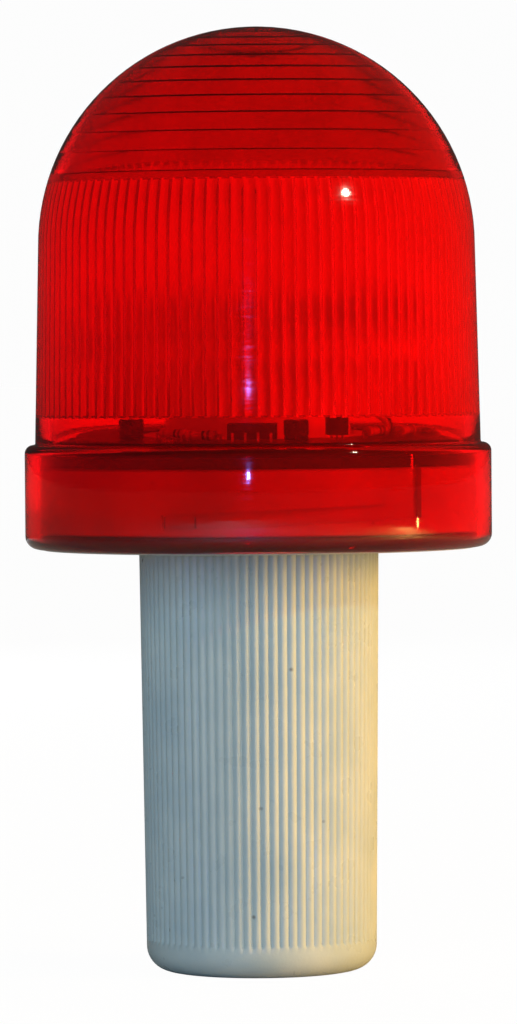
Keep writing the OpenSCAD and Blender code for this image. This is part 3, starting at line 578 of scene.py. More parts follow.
# %% The tube's outline, from the middle of its foot, up outside and down inside
TUBE_TOP_R = 24.9
TUBE_FOOT_R = 23.9
TUBE_BORE_R = 21.2
TUBE_FLOOR_T = 2.4
FOOT_ROUND = 5.2
TUBE_REEDS = 80
TUBE_REED_DEPTH = 0.45
TUBE_BAND_H = 6.4
GROOVE_R = CUP_R - 1.5
CUP_IN_R = CUP_R - 2.8
CUP_FLOOR_Z = FLANGE_Z + 3.0
CUP_TOP_Z = box_mm("battery_tube")[1].z
FLANGE_ROUND = 0.4


def tube_r(z):
    """The tube's outer radius at a height."""
    return TUBE_FOOT_R + (TUBE_TOP_R - TUBE_FOOT_R) * z / FLANGE_Z


def tube_outline():
    yield (0.0, 0.0)
    yield from arc((tube_r(FOOT_ROUND) - FOOT_ROUND, FOOT_ROUND), FOOT_ROUND, -90, 0, 12)
    yield (tube_r(TUBE_BAND_H), TUBE_BAND_H)
    for share in (0.0, 0.33, 0.67, 1.0):
        z = TUBE_BAND_H + 0.5 + share * (FLANGE_Z - TUBE_BAND_H - 0.5)
        yield (tube_r(z) - TUBE_REED_DEPTH, z, TUBE_REED_DEPTH)
    yield from arc((CUP_R - FLANGE_ROUND, FLANGE_Z + FLANGE_ROUND), FLANGE_ROUND, -90, 0, 3)
    yield (CUP_R, GROOVE_LOW_Z)
    yield (GROOVE_R, GROOVE_LOW_Z)
    yield (GROOVE_R, GROOVE_LOW_Z + GROOVE_H)
    yield (CUP_R, GROOVE_LOW_Z + GROOVE_H)
    yield (CUP_R, CUP_TOP_Z - FLANGE_ROUND)
    yield (CUP_R - FLANGE_ROUND, CUP_TOP_Z)
    yield (CUP_IN_R, CUP_TOP_Z)
    yield (CUP_IN_R, CUP_FLOOR_Z)
    yield (TUBE_BORE_R, CUP_FLOOR_Z)
    yield (TUBE_BORE_R, TUBE_FLOOR_T)
    yield (0.0, TUBE_FLOOR_T)


tube = turn_outline("battery_tube_moulding", tube_outline(), 8 * TUBE_REEDS, grey_plastic, TUBE_REEDS)

# %% Guide ribs and keys, with a lead-in at their tops
GUIDE_DEGS = range(0, 360, 60)
GUIDE_R = 17.4
GUIDE_T = 1.6
KEY_DEGS = (80, 200, 320)
KEY_IN_R = CUP_IN_R - 2.2
KEY_T = 2.0
LEAD_IN = 1.5


def add_fins(degs, thickness, r_in, r_out, low, high):
    """Joins upright fins to the tube, each with its inner top corner cut back."""
    outline = [(r_in, low), (r_out, low), (r_out, high), (r_in + LEAD_IN, high),
               (r_in, high - 2 * LEAD_IN)]
    combine(tube, "UNION", [plate(outline, thickness, deg) for deg in degs])


add_fins(GUIDE_DEGS, GUIDE_T, GUIDE_R, TUBE_BORE_R + SINK, TUBE_FLOOR_T - SINK, FLANGE_Z - SINK)
add_fins(KEY_DEGS, KEY_T, KEY_IN_R, CUP_IN_R + SINK, CUP_FLOOR_Z - SINK, CUP_TOP_Z - SINK)

# %% Bayonet slots and the hole for the strip's rivet
BAYONET_TURN = 60
BAYONET_RISE = 1.8
SLOT_HALF_DEG = LUG_WIDTH_DEG / 2 + 1
SLOT_FLOOR_R = CUP_R - LUG_REACH - SLIP
PAST = 1.0
RIVET_R = 0.95
STRIP_DEG = 30
STRIP_RIVET_R = TUBE_BORE_R + 4.8


def climb(first_deg, offset):
    """The height of a slot's floor or roof as a function of the angle."""
    return lambda deg: LUG_Z + offset + BAYONET_RISE * (deg - first_deg) / BAYONET_TURN


half_h = LUG_H / 2 + SLOT_PLAY
combine(tube, "DIFFERENCE", [
    wedge(SLOT_FLOOR_R, CUP_R + PAST, deg - SLOT_HALF_DEG, deg + BAYONET_TURN + SLOT_HALF_DEG,
          climb(deg, -half_h), climb(deg, half_h), 40) for deg in LUG_DEGS])
combine(tube, "DIFFERENCE", [
    wedge(SLOT_FLOOR_R, CUP_R + PAST, deg + BAYONET_TURN - SLOT_HALF_DEG, deg + BAYONET_TURN + SLOT_HALF_DEG,
          lambda _: LUG_Z + BAYONET_RISE, lambda _: CUP_TOP_Z + PAST, 8) for deg in LUG_DEGS])
hole = turn_outline("rivet_hole", [
    (0, FLANGE_Z - PAST), (RIVET_R, FLANGE_Z - PAST), (RIVET_R, CUP_FLOOR_Z + PAST),
    (0, CUP_FLOOR_Z + PAST)], 24, grey_plastic)
strip_turn = Matrix.Rotation(math.radians(STRIP_DEG), 4, "Z")
hole.data.transform(strip_turn @ Matrix.Translation((STRIP_RIVET_R * MM, 0, 0)))
combine(tube, "DIFFERENCE", [hole.data])
bpy.data.objects.remove(hole)
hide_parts("battery_tube")
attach(tube, "handle")

# %% [markdown]
# ## Finishes of the metal pieces
# Contacts are stamped from brass sheet, which keeps fine lines from the rolls and browns a
# little where it was touched. Screws are zinc-plated, rivets plain steel, the spring is drawn
# wire, the leads of the small parts are tinned copper, and a cell's can is nickel-plated.

# %% Brass, steels and tin
brass = surface(
    "brass_rolled_sheet", "D9B46A", 0.24, 1.0, drift=(5, "DDB972", "A67F45"), wear=(2.5, 0.18, 0.42),
    relief=(0.12, 0.003, (14, 1, 1)))
zinc = surface(
    "steel_zinc_plated", "CDD2D6", 0.3, 1.0, drift=(1.2, "D4D8DC", "A9B0B8"), wear=(0.8, 0.22, 0.42))
plain_steel = surface(
    "steel_tumbled", "A9ABAE", 0.34, 1.0, drift=(1.0, "B4B6B8", "85878B"), wear=(0.5, 0.25, 0.5))
spring_steel = surface(
    "spring_wire_drawn", "B7B9BC", 0.26, 1.0, drift=(1.5, "BDBFC2", "8F9195"), wear=(0.4, 0.2, 0.4),
    relief=(0.1, 0.002))
tin = surface(
    "copper_lead_tinned", "C9CACB", 0.28, 1.0, drift=(0.8, "D2D2D0", "A3A5A6"), wear=(0.4, 0.2, 0.45))
nickel = surface(
    "steel_nickel_plated", "C8C4BA", 0.2, 1.0, drift=(7, "CFCBC2", "B2ADA2"), wear=(2, 0.14, 0.32),
    relief=(0.25, 0.002, (1, 1, 30)))
aluminium = surface("aluminium_pressed", "D5D7D9", 0.32, 1.0, wear=(0.6, 0.24, 0.42))

# %% [markdown]
# ## Finishes of the plastic, rubber and board pieces
# The carrier is black ABS from a spark-eroded mould, the column white ABS. The boards are
# glass-epoxy laminate under solder resist, whose copper tracks stand out a little in another
# shade. The sealing ring is nitrile rubber with a dull bloom.

# %% Plastics and rubber
black_abs = surface(
    "black_abs_spark_eroded", "080809", 0.5, drift=(12, "151516", "0C0C0D"), wear=(5, 0.34, 0.56),
    relief=(0.3, 0.015), IOR=1.53)
white_abs = surface(
    "white_abs_moulded", "EDECE4", 0.3, drift=(16, "F0EFE9", "E2E0D4"), wear=(8, 0.24, 0.4),
    relief=(0.6, 0.006), IOR=1.53)
rubber = surface(
    "nitrile_rubber_moulded", "17171A", 0.62, drift=(3, "1B1B1D", "101012"), wear=(2, 0.52, 0.78),
    relief=(0.2, 0.01), IOR=1.52)
resin = surface(
    "epoxy_resin_black", "17171A", 0.48, drift=(1.5, "1A1A1D", "101013"), wear=(0.8, 0.42, 0.62),
    relief=(0.1, 0.006), IOR=1.55)


# %% Boards: copper tracks under the solder resist
TRACK_SPACING = 4.0
COPPER_T = 0.035


def board_finish(name, resist, over_copper):
    """Laminate under solder resist, with raised copper tracks around bare islands."""
    made, tree, shader = material(name, resist, 0.34, IOR=1.5)
    place = add(tree, "ShaderNodeTexCoord").outputs["Object"]
    cells = add(tree, "ShaderNodeTexVoronoi", {"feature": "DISTANCE_TO_EDGE"}, {
        "Vector": place, "Scale": 1 / (TRACK_SPACING * MM)})
    islands = spread(tree, cells.outputs["Distance"], 0.0, 1.0, 0.10, 0.12)
    tree.links.new(blend_colors(tree, islands, over_copper, resist), shader.inputs["Base Color"])
    bump = add(tree, "ShaderNodeBump", {"invert": True}, {
        "Strength": 1.0, "Distance": COPPER_T * MM, "Height": islands})
    tree.links.new(bump.outputs[0], shader.inputs["Normal"])
    worn(tree, shader, 2, 0.28, 0.42)
    return made


green_board = board_finish("fibreglass_board_green_resist", "0E4A2A", "1C6E40")
white_board = board_finish("fibreglass_board_white_resist", "DCDDD7", "C6C9BE")

# %% Small electrical parts
led_epoxy = surface(
    "led_epoxy_red", "E8251C", 0.05, drift=(3, "EA2B20", "D81A14"), wear=(1.2, 0.03, 0.09),
    IOR=1.55, Transmission_Weight=0.85)
sleeve = surface(
    "capacitor_sleeve_shrunk_pvc", "141A2E", 0.3, drift=(1.5, "161D34", "0E1322"),
    wear=(1.0, 0.22, 0.4), relief=(0.3, 0.006, (1, 1, 6)), IOR=1.53)

# Each band's start along the body, and its colour
BANDS = ((0.0, "CDB183"), (0.16, "6B3A12"), (0.26, "CDB183"), (0.34, "15110E"), (0.43, "CDB183"),
         (0.5, "C4641A"), (0.59, "CDB183"), (0.76, "A88A3E"), (0.85, "CDB183"))
lacquer, tree, shader = material("resistor_lacquer_banded", "CDB183", 0.35, IOR=1.5)
along = add(tree, "ShaderNodeAttribute", {"attribute_name": "along"}).outputs["Fac"]
ramp = add(tree, "ShaderNodeValToRGB", inputs={0: along})
ramp.color_ramp.interpolation = "CONSTANT"
while len(ramp.color_ramp.elements) < len(BANDS):
    ramp.color_ramp.elements.new(0.5)
for stop, (position, color) in zip(ramp.color_ramp.elements, BANDS):
    stop.position = position
    stop.color = srgb(color)
tree.links.new(ramp.outputs[0], shader.inputs["Base Color"])
worn(tree, shader, 0.8, 0.28, 0.45)

ceramic, tree, shader = material("photocell_ceramic", "D9C9A8", 0.4, IOR=1.6)
place = add(tree, "ShaderNodeTexCoord").outputs["Object"]
TRACE_WAVE = 6.0
trace = add(tree, "ShaderNodeTexWave", {"bands_direction": "X"}, {
    "Vector": place, "Scale": 1 / (TRACE_WAVE * MM)})
line = spread(tree, trace.outputs["Fac"], 0.0, 1.0, 0.45, 0.55)
tree.links.new(blend_colors(tree, line, "B4542A", "D9C9A8"), shader.inputs["Base Color"])
worn(tree, shader, 1.0, 0.3, 0.5)


# %% Wire insulation: soft PVC, a little uneven in gloss
WIRE_COLORS = {
    "wire_positive": ("red", "C3161A", "A50F14"),
    "wire_negative": ("black", "151517", "0D0D0F"),
    "wire_led_a": ("yellow", "DDBE1F", "C4A514"),
    "wire_led_b": ("blue", "1E4FA8", "173F8A"),
}
wire_finishes = {
    node: ("wire_" + name, surface(
        "pvc_insulation_" + name, color, 0.38, drift=(3, color, shade), wear=(1.2, 0.3, 0.5),
        relief=(0.4, 0.008), IOR=1.53))
    for node, (name, color, shade) in WIRE_COLORS.items()}

# %% Printed sleeves of the cells, with a pale band
CELL_H = 61.5
PALE_BAND_LOW = 43.0
PALE_BAND_HIGH = 49.0
cell_foil, tree, shader = material("cell_sleeve_printed_foil", "23282F", 0.28, IOR=1.5)
place = add(tree, "ShaderNodeTexCoord").outputs["Object"]
height = math_chain(tree, add(tree, "ShaderNodeSeparateXYZ", inputs={0: place}).outputs["Z"],
                    ("DIVIDE", MM), ("SUBTRACT", box_mm("cell_jacket_lower")[0].z), ("MODULO", CELL_H))
band = math_chain(tree, math_chain(tree, height, ("GREATER_THAN", PALE_BAND_LOW)),
                  ("MULTIPLY", math_chain(tree, height, ("LESS_THAN", PALE_BAND_HIGH))))
tree.links.new(blend_colors(tree, band, "23282F", "C9CCCF"), shader.inputs["Base Color"])
worn(tree, shader, 6, 0.2, 0.38)
grain(tree, shader, 1.5, 0.01)


# %% Finishes of the pieces that keep the frame's shape
def paint(finish, slot, *nodes):
    """Gives pieces from the frame their finish."""
    for node in nodes:
        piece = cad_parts[node]
        piece.data.materials.clear()
        piece.data.materials.append(finish)


paint(black_abs, "carrier_plastic", "carrier_plate")
paint(white_abs, "tower_plastic", "lamp_tower")
paint(rubber, "seal_rubber", "flange_oring")
paint(brass, "contact_brass", "negative_strip", "contact_ring", "positive_contact")
paint(plain_steel, "rivet_steel", "strip_rivet", "contact_rivet")
paint(green_board, "board_green", "control_board")
paint(white_board, "board_white", "led_board")
paint(resin, "chip_resin", "flasher_ic", "transistor")
paint(tin, "lead_tin", "ic_pins", "transistor_legs", "resistor_leads", "led_leads", "photocell_legs")
paint(ceramic, "photocell_face", "photocell")

# %% [markdown]
# ## Copies on points
# Screws, resistors and diodes are the same piece set down several times. The tree puts a
# copy of one piece on every point of its starting mesh, turned by the point's own `turn`
# angle, and makes them real geometry.

# %% The tree that sets down copies
copies, start, end = new_tree("copies", Piece="Object", Material="Material")
one = add(copies, "GeometryNodeObjectInfo", {"transform_space": "ORIGINAL"}, {"Object": start["Piece"]})
point_turn = add(copies, "GeometryNodeInputNamedAttribute", {"data_type": "FLOAT"}, {"Name": "turn"})
upright = add(copies, "ShaderNodeCombineXYZ", inputs={"Z": point_turn.outputs[0]})
rotation = add(copies, "FunctionNodeEulerToRotation", inputs={0: upright.outputs[0]})
laid = add(copies, "GeometryNodeInstanceOnPoints", inputs={
    "Points": start["Geometry"], "Instance": one.outputs["Geometry"], "Rotation": rotation.outputs[0]})
finish_tree(copies, end, laid.outputs[0], start["Material"])


def set_down(name, piece, places, finish):
    """Copies of a piece at places given as (angle, radius, height), facing outwards."""
    mesh = bpy.data.meshes.new(name + "_points")
    mesh.from_pydata([Vector(at(*place)) * MM for place in places], [], [])
    turn_of = mesh.attributes.new("turn", "FLOAT", "POINT")
    turn_of.data.foreach_set("value", [math.radians(deg) for deg, _, _ in places])
    made = run_tree(copies, name, mesh, Piece=piece, Material=finish)
    bpy.data.objects.remove(piece)
    return made


# %% [markdown]
# ## Screws
# A pan-head screw is turned like the other round pieces: a low domed head with a rounded
# edge, a plain neck, a thread as a row of ridges, and a short point. The cross recess is cut
# with two tapered blades.

# %% Pan-head screws in three sizes
def screw(shank_r, length):
    """One screw with its head's underside at height 0, in millimetres."""
    head_r, head_h, pitch = 1.9 * shank_r, 1.3 * shank_r, 0.5 * shank_r
    edge = 0.35 * head_h
    outline = [(0, head_h), (0.35 * head_r, 0.98 * head_h), (0.7 * head_r, 0.86 * head_h)]
    outline += [(head_r - edge + edge * math.sin(a), edge + 0.9 * edge * math.cos(a))
                for a in (0.5, 1.0, math.pi / 2)]
    outline += [(head_r, 0.1), (0.97 * head_r, 0), (0.86 * shank_r, 0), (0.86 * shank_r, -pitch)]
    turns = int((length - 3 * pitch) / pitch)
    for i in range(turns):
        low = -pitch * (i + 1)
        outline += [(shank_r, low - 0.5 * pitch), (0.8 * shank_r, low - pitch)]
    outline += [(0.5 * shank_r, -length + 0.3 * pitch), (0, -length)]
    made = turn_outline("screw", outline, 20, zinc)
    blade = [(-0.5 * head_r, 2 * head_h), (-0.5 * head_r, 0.9 * head_h), (-0.18 * head_r, 0.35 * head_h),
             (0.18 * head_r, 0.35 * head_h), (0.5 * head_r, 0.9 * head_h), (0.5 * head_r, 2 * head_h)]
    combine(made, "DIFFERENCE", [plate(blade, 0.22 * head_r, deg) for deg in (20, 110)])
    return made


def around(count, first_deg, r, z):
    """Evenly spaced places around the axis."""
    return [(first_deg + 360 * i / count, r, z) for i in range(count)]


# Each as the shank's radius, the length, the first one's angle, and the ring's radius
SCREWS = {
    "tower_screws": (1.1, 6.0, 30, 21.65),
    "board_screws": (0.9, 3.6, 0, 35.2),
    "led_board_screws": (0.8, 3.2, 30, 20.5),
}
for node, (shank_r, length, first_deg, ring_r) in SCREWS.items():
    under_head = box_mm(node)[0].z + length
    made = set_down(node + "_cross_head", screw(shank_r, length),
                    around(3, first_deg, ring_r, under_head), zinc)
    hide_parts(node)
    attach(made, "lamp_module")

# %% [markdown]
# ## Parts on the control board
# Each capacitor is an aluminium can in a shrunk plastic sleeve that turns in over its edges.
# A resistor's body is thicker over its two end caps, and its coloured bands follow `along`,
# a number that runs from one end of the body to the other.

# %% Capacitors
BOARD_TOP = box_mm("control_board")[1].z
BOARD_MID_R = 31.6
SLEEVE = (
    (0, 0), (2.1, 0), (2.45, 0.25), (2.5, 0.8), (2.25, 1.05), (2.5, 1.35), (2.5, 4.3), (2.35, 4.55),
    (2.1, 4.6), (2.0, 4.45), (0, 4.45))
CAN_TOP = ((0, 4.46), (1.98, 4.46), (1.9, 4.52), (0, 4.52))
CAPACITOR_DEGS = {"capacitor_1": 284, "capacitor_2": 216}
for node, deg in CAPACITOR_DEGS.items():
    foot = BOARD_TOP + 0.05
    can = turn_outline(node + "_sleeve", [(r, foot + z) for r, z in SLEEVE], 40, sleeve)
    top = turn_outline(node + "_can_top", [(r, foot + z) for r, z in CAN_TOP], 40, aluminium)
    out = Matrix.Rotation(math.radians(deg), 4, "Z") @ Matrix.Translation((BOARD_MID_R * MM, 0, 0))
    for piece in (can, top):
        piece.data.transform(out)
        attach(piece, "lamp_module")
    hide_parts(node)

# %% Resistors
# Each as its angle, and how much further out it stands than the innermost
RESISTORS = ((236, 0), (250, 3), (322, 0), (335, 3), (60, 0), (98, 2))
RESISTOR_L = 6.2
RESISTOR_Z = 1.5
half = RESISTOR_L / 2
body_outline = [(0, -half), (0.8, -half), (1.12, -half + 0.15), (1.2, -half + 0.5), (1.18, -half + 1.2),
                (1.0, -half + 1.7)]
body_outline += [(r, -z) for r, z in reversed(body_outline)]
one = turn_outline("resistor", body_outline, 24, lacquer)
along = one.data.attributes.new("along", "FLOAT", "POINT")
along.data.foreach_set("value", [v.co.z / MM / RESISTOR_L + 0.5 for v in one.data.vertices])
one.data.transform(Matrix.Rotation(math.radians(90), 4, "X"))
made = set_down("resistor_bodies", one, [
    (deg, BOARD_MID_R - 1.5 + further, BOARD_TOP + RESISTOR_Z) for deg, further in RESISTORS], lacquer)
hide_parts("resistors")
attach(made, "lamp_module")

# %% [markdown]
# ## Light-emitting diodes
# Each is cast in red epoxy with a flange at its foot and a round nose, and points outwards.

# %% Diodes
LED_COUNT = 6
LED_FOOT_R = 12.5
LED_BODY_L = 6.5
LED_R = 2.5
led_low, led_high = box_mm("led_1")
led_z = (led_low.z + led_high.z) / 2
led_outline = [(0, 0), (2.8, 0), (2.9, 0.1), (2.9, 0.9), (2.8, 1.0), (LED_R + 0.05, 1.0), (LED_R, 1.2)]
led_outline += list(arc((0, LED_BODY_L), LED_R, 0, 90, 12))
one = turn_outline("diode", led_outline, 40, led_epoxy)
one.data.transform(Matrix.Rotation(math.radians(90), 4, "Y"))
made = set_down("led_bodies", one, around(LED_COUNT, 0, LED_FOOT_R, led_z), led_epoxy)
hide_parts(*(f"led_{i + 1}" for i in range(LED_COUNT)))
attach(made, "lamp_module")

# %% [markdown]
# ## Cells
# A cell's can is drawn steel with a stepped foot, a bead just above it, a rolled edge around
# its top and a nub. The printed sleeve is a thin tube around the can with eased edges.

# %% Cans and sleeves
CELL_R = 16.6
CELL_NUB_R = 4.7
CELL_NUB_H = 1.5
SLEEVE_T = 0.4
for i, where in enumerate(("lower", "upper")):
    foot = box_mm("cell_can_lower")[0].z + i * CELL_H
    body_top = foot + CELL_H - CELL_NUB_H - 0.05
    r = CELL_R - SLEEVE_T - 0.05
    can_outline = [(0, foot), (r - 2.6, foot), (r - 2.2, foot + 0.1), (r - 1.8, foot + 0.3),
                   (r - 0.5, foot + 0.3), (r, foot + 0.7), (r, foot + 2.4), (r - 0.35, foot + 2.9),
                   (r, foot + 3.4), (r, body_top - 0.5), (r - 0.4, body_top - 0.05),
                   (r - 1.6, body_top), (r - 2.0, body_top - 0.4), (CELL_NUB_R + 1.0, body_top - 0.4),
                   (CELL_NUB_R + 0.3, body_top - 0.1), (CELL_NUB_R, body_top + 0.3),
                   (CELL_NUB_R, body_top + CELL_NUB_H - 0.35), (CELL_NUB_R - 0.35, body_top + CELL_NUB_H),
                   (0, body_top + CELL_NUB_H)]
    can = turn_outline(f"cell_can_{where}_drawn", can_outline, 96, nickel)
    low, high = foot + 0.8, foot + CELL_H - CELL_NUB_H - 0.8
    foil_outline = [(CELL_R - SLEEVE_T, low), (CELL_R - 0.1, low), (CELL_R, low + 0.3), (CELL_R, high - 0.3),
                    (CELL_R - 0.1, high), (CELL_R - SLEEVE_T, high), (CELL_R - SLEEVE_T, low)]
    foil = turn_outline(f"cell_sleeve_{where}_printed", foil_outline, 96, cell_foil)
    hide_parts(f"cell_can_{where}")
    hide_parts(f"cell_jacket_{where}")
    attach(can, "lamp_module")
    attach(foil, "lamp_module")

# %% [markdown]
# ## Wires and the spring
# A wire and a spring are both a round section carried along a path. The tree turns a row of
# points into a smooth curve and sweeps a circle along it. Each wire lies in one upright plane
# through the lamp's axis; the spring is a cone-shaped coil whose turns nearly nest when it is
# squeezed.

# %% The tree that sweeps a round section
sweep, start, end = new_tree("sweep", Radius="Float", Sides="Int", Smoothing="Int", Material="Material")
path = add(sweep, "GeometryNodeMeshToCurve", inputs={0: start["Geometry"]})
curved = add(sweep, "GeometryNodeCurveSplineType", {"spline_type": "CATMULL_ROM"}, {0: path.outputs[0]})
finer = add(sweep, "GeometryNodeSetSplineResolution", inputs={
    "Geometry": curved.outputs[0], "Resolution": start["Smoothing"]})
section = add(sweep, "GeometryNodeCurvePrimitiveCircle", inputs={
    "Resolution": start["Sides"], "Radius": start["Radius"]})
tube_mesh = add(sweep, "GeometryNodeCurveToMesh", inputs={
    "Curve": finer.outputs[0], "Profile Curve": section.outputs[0], "Fill Caps": True})
finish_tree(sweep, end, tube_mesh.outputs[0], start["Material"])


def sweep_path(name, points, radius, finish, smoothing=6, sides=16):
    """A round section along a row of points, in millimetres."""
    mesh = bpy.data.meshes.new(name + "_path")
    mesh.from_pydata([Vector(p) * MM for p in points], [(i, i + 1) for i in range(len(points) - 1)], [])
    return run_tree(sweep, name, mesh, Radius=radius * MM, Sides=sides, Smoothing=smoothing, Material=finish)


# %% The four wires, each as (angle, points of radius and height)
WIRE_R = 0.7
TOWER_R = 19.3
BOARD_IN_R = 25.2
CONTACT_MID_R = 33.5
PLATE_Z = 104.9
arm_r = TOWER_R + 2.7
led_r = 22.1
high = {node: box_mm(node)[1].z for node in wire_finishes}
low = {node: box_mm(node)[0].z for node in wire_finishes}
WIRES = {
    "wire_positive": (90, [
        (arm_r - 1, high["wire_positive"]), (arm_r - 1, high["wire_positive"] - 5),
        (arm_r - 0.5, BOARD_TOP + 8), (BOARD_IN_R + 2, BOARD_TOP + 3), (BOARD_IN_R + 2, BOARD_TOP + 0.05)]),
    "wire_negative": (200, [
        (CONTACT_MID_R, low["wire_negative"]), (CONTACT_MID_R, low["wire_negative"] + 1.5),
        (CONTACT_MID_R - 1.5, low["wire_negative"] + 5), (CONTACT_MID_R, PLATE_Z - 2),
        (CONTACT_MID_R, PLATE_Z), (CONTACT_MID_R, high["wire_negative"])]),
}
for node, deg in (("wire_led_a", 345), ("wire_led_b", 352)):
    WIRES[node] = (deg, [
        (BOARD_IN_R + 2, BOARD_TOP + 0.05), (BOARD_IN_R + 2, BOARD_TOP + 3), (led_r + 0.5, BOARD_TOP + 8),
        (led_r, box_mm("lamp_tower")[1].z - 4.8), (led_r, high[node])])
for node, (deg, route) in WIRES.items():
    slot, finish = wire_finishes[node]
    made = sweep_path(node + "_insulated", [at(deg, r, z) for r, z in route], WIRE_R, finish)
    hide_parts(node)
    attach(made, "lamp_module")

# %% The spring
SPRING_WIRE_R = 0.45
SPRING_TURNS = 3
SPRING_FOOT_R = 9.0
SPRING_TOP_R = 5.5
STEPS_PER_TURN = 32
spring_low, spring_high = (corner.z for corner in box_mm("battery_spring"))
steps = SPRING_TURNS * STEPS_PER_TURN
coil = []
for i in range(steps + 1):
    share = i / steps
    r = SPRING_FOOT_R + (SPRING_TOP_R - SPRING_FOOT_R) * share
    z = spring_low + SPRING_WIRE_R + (spring_high - spring_low - 2 * SPRING_WIRE_R) * share
    coil.append(at(360 * SPRING_TURNS * share, r, z))
spring = sweep_path("battery_spring_coiled", coil, SPRING_WIRE_R, spring_steel, 1, 12)
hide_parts("battery_spring")
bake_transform(spring)

# %% [markdown]
# ## The studio
# The lamp stands on a pale floor in a pale room. Three small lamps are seen as glints: a key
# lamp from the upper right, which also throws the collar's shadow on the tube, a bluish lamp
# beside the camera, and a faint warm one low on the right. Three wide soft lamps light the
# right side warm, the left side cool, and the back, without being mirrored in the lens.
#
# The room has its own brightness for each kind of ray: white to the camera, dim where it only
# lights the lamp, dimmer in mirror reflections, so that the red stays deep, and bright near
# the horizon to rays through the lens, so that the reeds show. A real room can't do this,
# and in plain light the lens looks darker. A ray through glass also counts as glossy, so the
# mix for those comes last.

# %% Floor and room
FLOOR_SIZE = 60
FLOOR_GLOW = 1.06
FLOOR_GLOW_MORE = 1.2
GLOW_SHARE_SEEN = 0.92
GLOW_SHARE_THROUGH = 0.9
bpy.ops.mesh.primitive_plane_add(size=FLOOR_SIZE)
floor = bpy.context.object
floor.name = "studio_floor"
floor_paper, tree, shader = material("floor_paper", "A8A8A6", 0.9)
rays = add(tree, "ShaderNodeLightPath").outputs
brightness = math_chain(
    tree, rays["Is Transmission Ray"], ("MULTIPLY", FLOOR_GLOW_MORE), ("ADD", FLOOR_GLOW))
glow = add(tree, "ShaderNodeEmission", inputs={"Color": (1, 1, 1, 1), "Strength": brightness})
straight = math_chain(tree, rays["Is Camera Ray"], ("MULTIPLY", GLOW_SHARE_SEEN))
share = math_chain(
    tree, rays["Is Transmission Ray"], ("MULTIPLY", GLOW_SHARE_THROUGH), ("ADD", straight))
pale = add(tree, "ShaderNodeMixShader", inputs={0: share, 1: shader.outputs[0], 2: glow.outputs[0]})
tree.links.new(pale.outputs[0], tree.nodes["Material Output"].inputs["Surface"])
floor.data.materials.append(floor_paper)

ROOM_SEEN = 0.98
ROOM_LIGHT = 0.3
ROOM_BEHIND = 2.5
ROOM_ABOVE = 0.15
ROOM_MIRRORED = 0.06
HORIZON = 0.04
STEEP = 0.35
scene = bpy.context.scene
scene.view_settings.view_transform = "Standard"
world = bpy.data.worlds.new("studio")
scene.world = world
world.use_nodes = True
tree = world.node_tree
seen = tree.nodes["Background"]
seen.inputs["Color"].default_value = (1, 1, 1, 1)
seen.inputs["Strength"].default_value = ROOM_SEEN
direction = add(tree, "ShaderNodeTexCoord").outputs["Generated"]
split = add(tree, "ShaderNodeSeparateXYZ", inputs={0: direction}).outputs
sideways, upward = split["X"], split["Z"]
room_color = blend_colors(tree, spread(tree, sideways, 0.0, 1.0, -1.0, 1.0), "8FA6B8", "FFDDB8")
rays = add(tree, "ShaderNodeLightPath").outputs
steepness = math_chain(tree, upward, ("ABSOLUTE", 0.0))
behind = spread(tree, steepness, ROOM_BEHIND, ROOM_ABOVE, HORIZON, STEEP)
bounced = add(tree, "ShaderNodeMix", {"data_type": "FLOAT"}, {
    0: rays["Is Glossy Ray"], 2: ROOM_LIGHT, 3: ROOM_MIRRORED}).outputs[0]
strength = add(tree, "ShaderNodeMix", {"data_type": "FLOAT"}, {
    0: rays["Is Transmission Ray"], 2: bounced, 3: behind}).outputs[0]
lighting = add(tree, "ShaderNodeBackground", inputs={"Color": room_color, "Strength": strength})
room = add(tree, "ShaderNodeMixShader", inputs={
    0: rays["Is Camera Ray"], 1: lighting.outputs[0], 2: seen.outputs[0]})
tree.links.new(room.outputs[0], tree.nodes["World Output"].inputs["Surface"])
print("room and floor made")

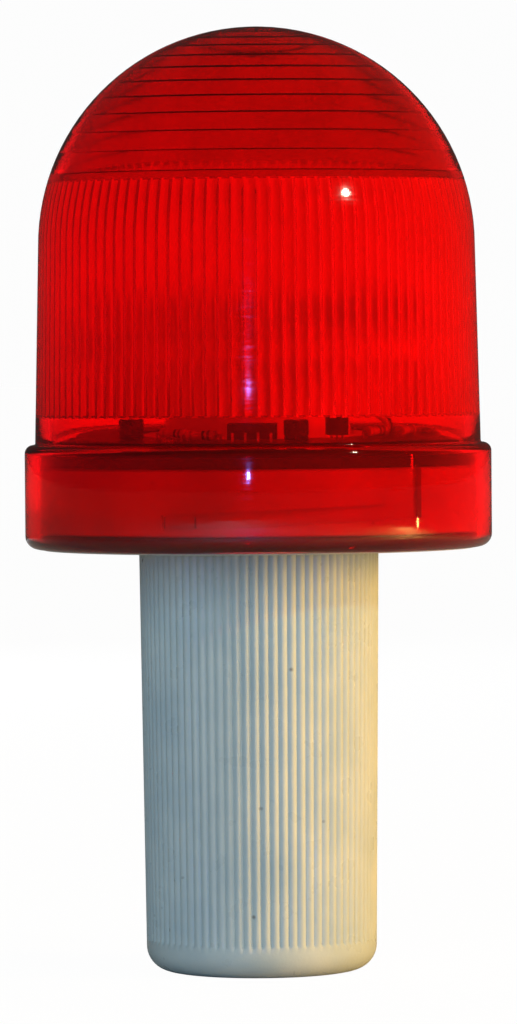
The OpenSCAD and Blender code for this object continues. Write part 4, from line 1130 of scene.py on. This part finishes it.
# %% Lamps
LAMPS_AIM = Vector((0, 0, 0.1))


def lamp(name, azimuth, elevation, distance, size, power, color, mirrored=True):
    """An area lamp that looks at the middle of the object from a direction in degrees."""
    light = bpy.data.lights.new(name, "AREA")
    light.shape = "ELLIPSE"
    light.size, light.size_y = size
    light.energy = power
    light.color = srgb(color)[:3]
    made = new_object(name, light)
    a, e = math.radians(azimuth), math.radians(elevation)
    back = Vector((math.sin(a) * math.cos(e), -math.cos(a) * math.cos(e), math.sin(e)))
    made.location = LAMPS_AIM + back * distance
    made.rotation_euler = (-back).to_track_quat("-Z", "Y").to_euler()
    made.visible_glossy = mirrored
    made.visible_transmission = mirrored
    print(f"lamp {name}: {power} W")


lamp("key", 50, 26, 1.0, (0.05, 0.05), 1.8, "FFFCE0")
lamp("camera_flash", -4.6, 2.2, 1.15, (0.014, 0.014), 1.0, "6A7CFF")
lamp("warm_side", 76, 8, 1.2, (0.3, 0.6), 18, "FFCB6F", mirrored=False)
lamp("cool_front", -15, 14, 1.3, (0.8, 0.8), 7, "B4E4FF", mirrored=False)
lamp("back_fill", 195, 18, 1.3, (0.8, 0.8), 5, "F4F6FF", mirrored=False)
lamp("warm_window", 83, -4, 1.2, (0.03, 0.02), 0.08, "FFB060")

# %% Camera
camera_data = bpy.data.cameras.new("camera")
camera = new_object("camera", camera_data)
scene.camera = camera
DISTANCE = 1.2
FRAME_HEIGHT = 0.213
SENSOR = 36
camera_data.sensor_width = SENSOR
camera_data.lens = SENSOR * DISTANCE / FRAME_HEIGHT
aim = Vector((0.0, 0.0, 0.0952))
ELEVATION = math.radians(1.5)
ROLL = math.radians(-0.45)
back = Vector((0, -math.cos(ELEVATION), math.sin(ELEVATION)))
camera.location = aim + back * DISTANCE
roll = Matrix.Rotation(ROLL, 4, back)
upright = (-back).to_track_quat("-Z", "Y").to_matrix().to_4x4()
camera.rotation_mode = "QUATERNION"
camera.rotation_quaternion = (roll @ upright).to_quaternion()
print(f"camera {DISTANCE} m away, with a {camera_data.lens:.0f} mm lens")
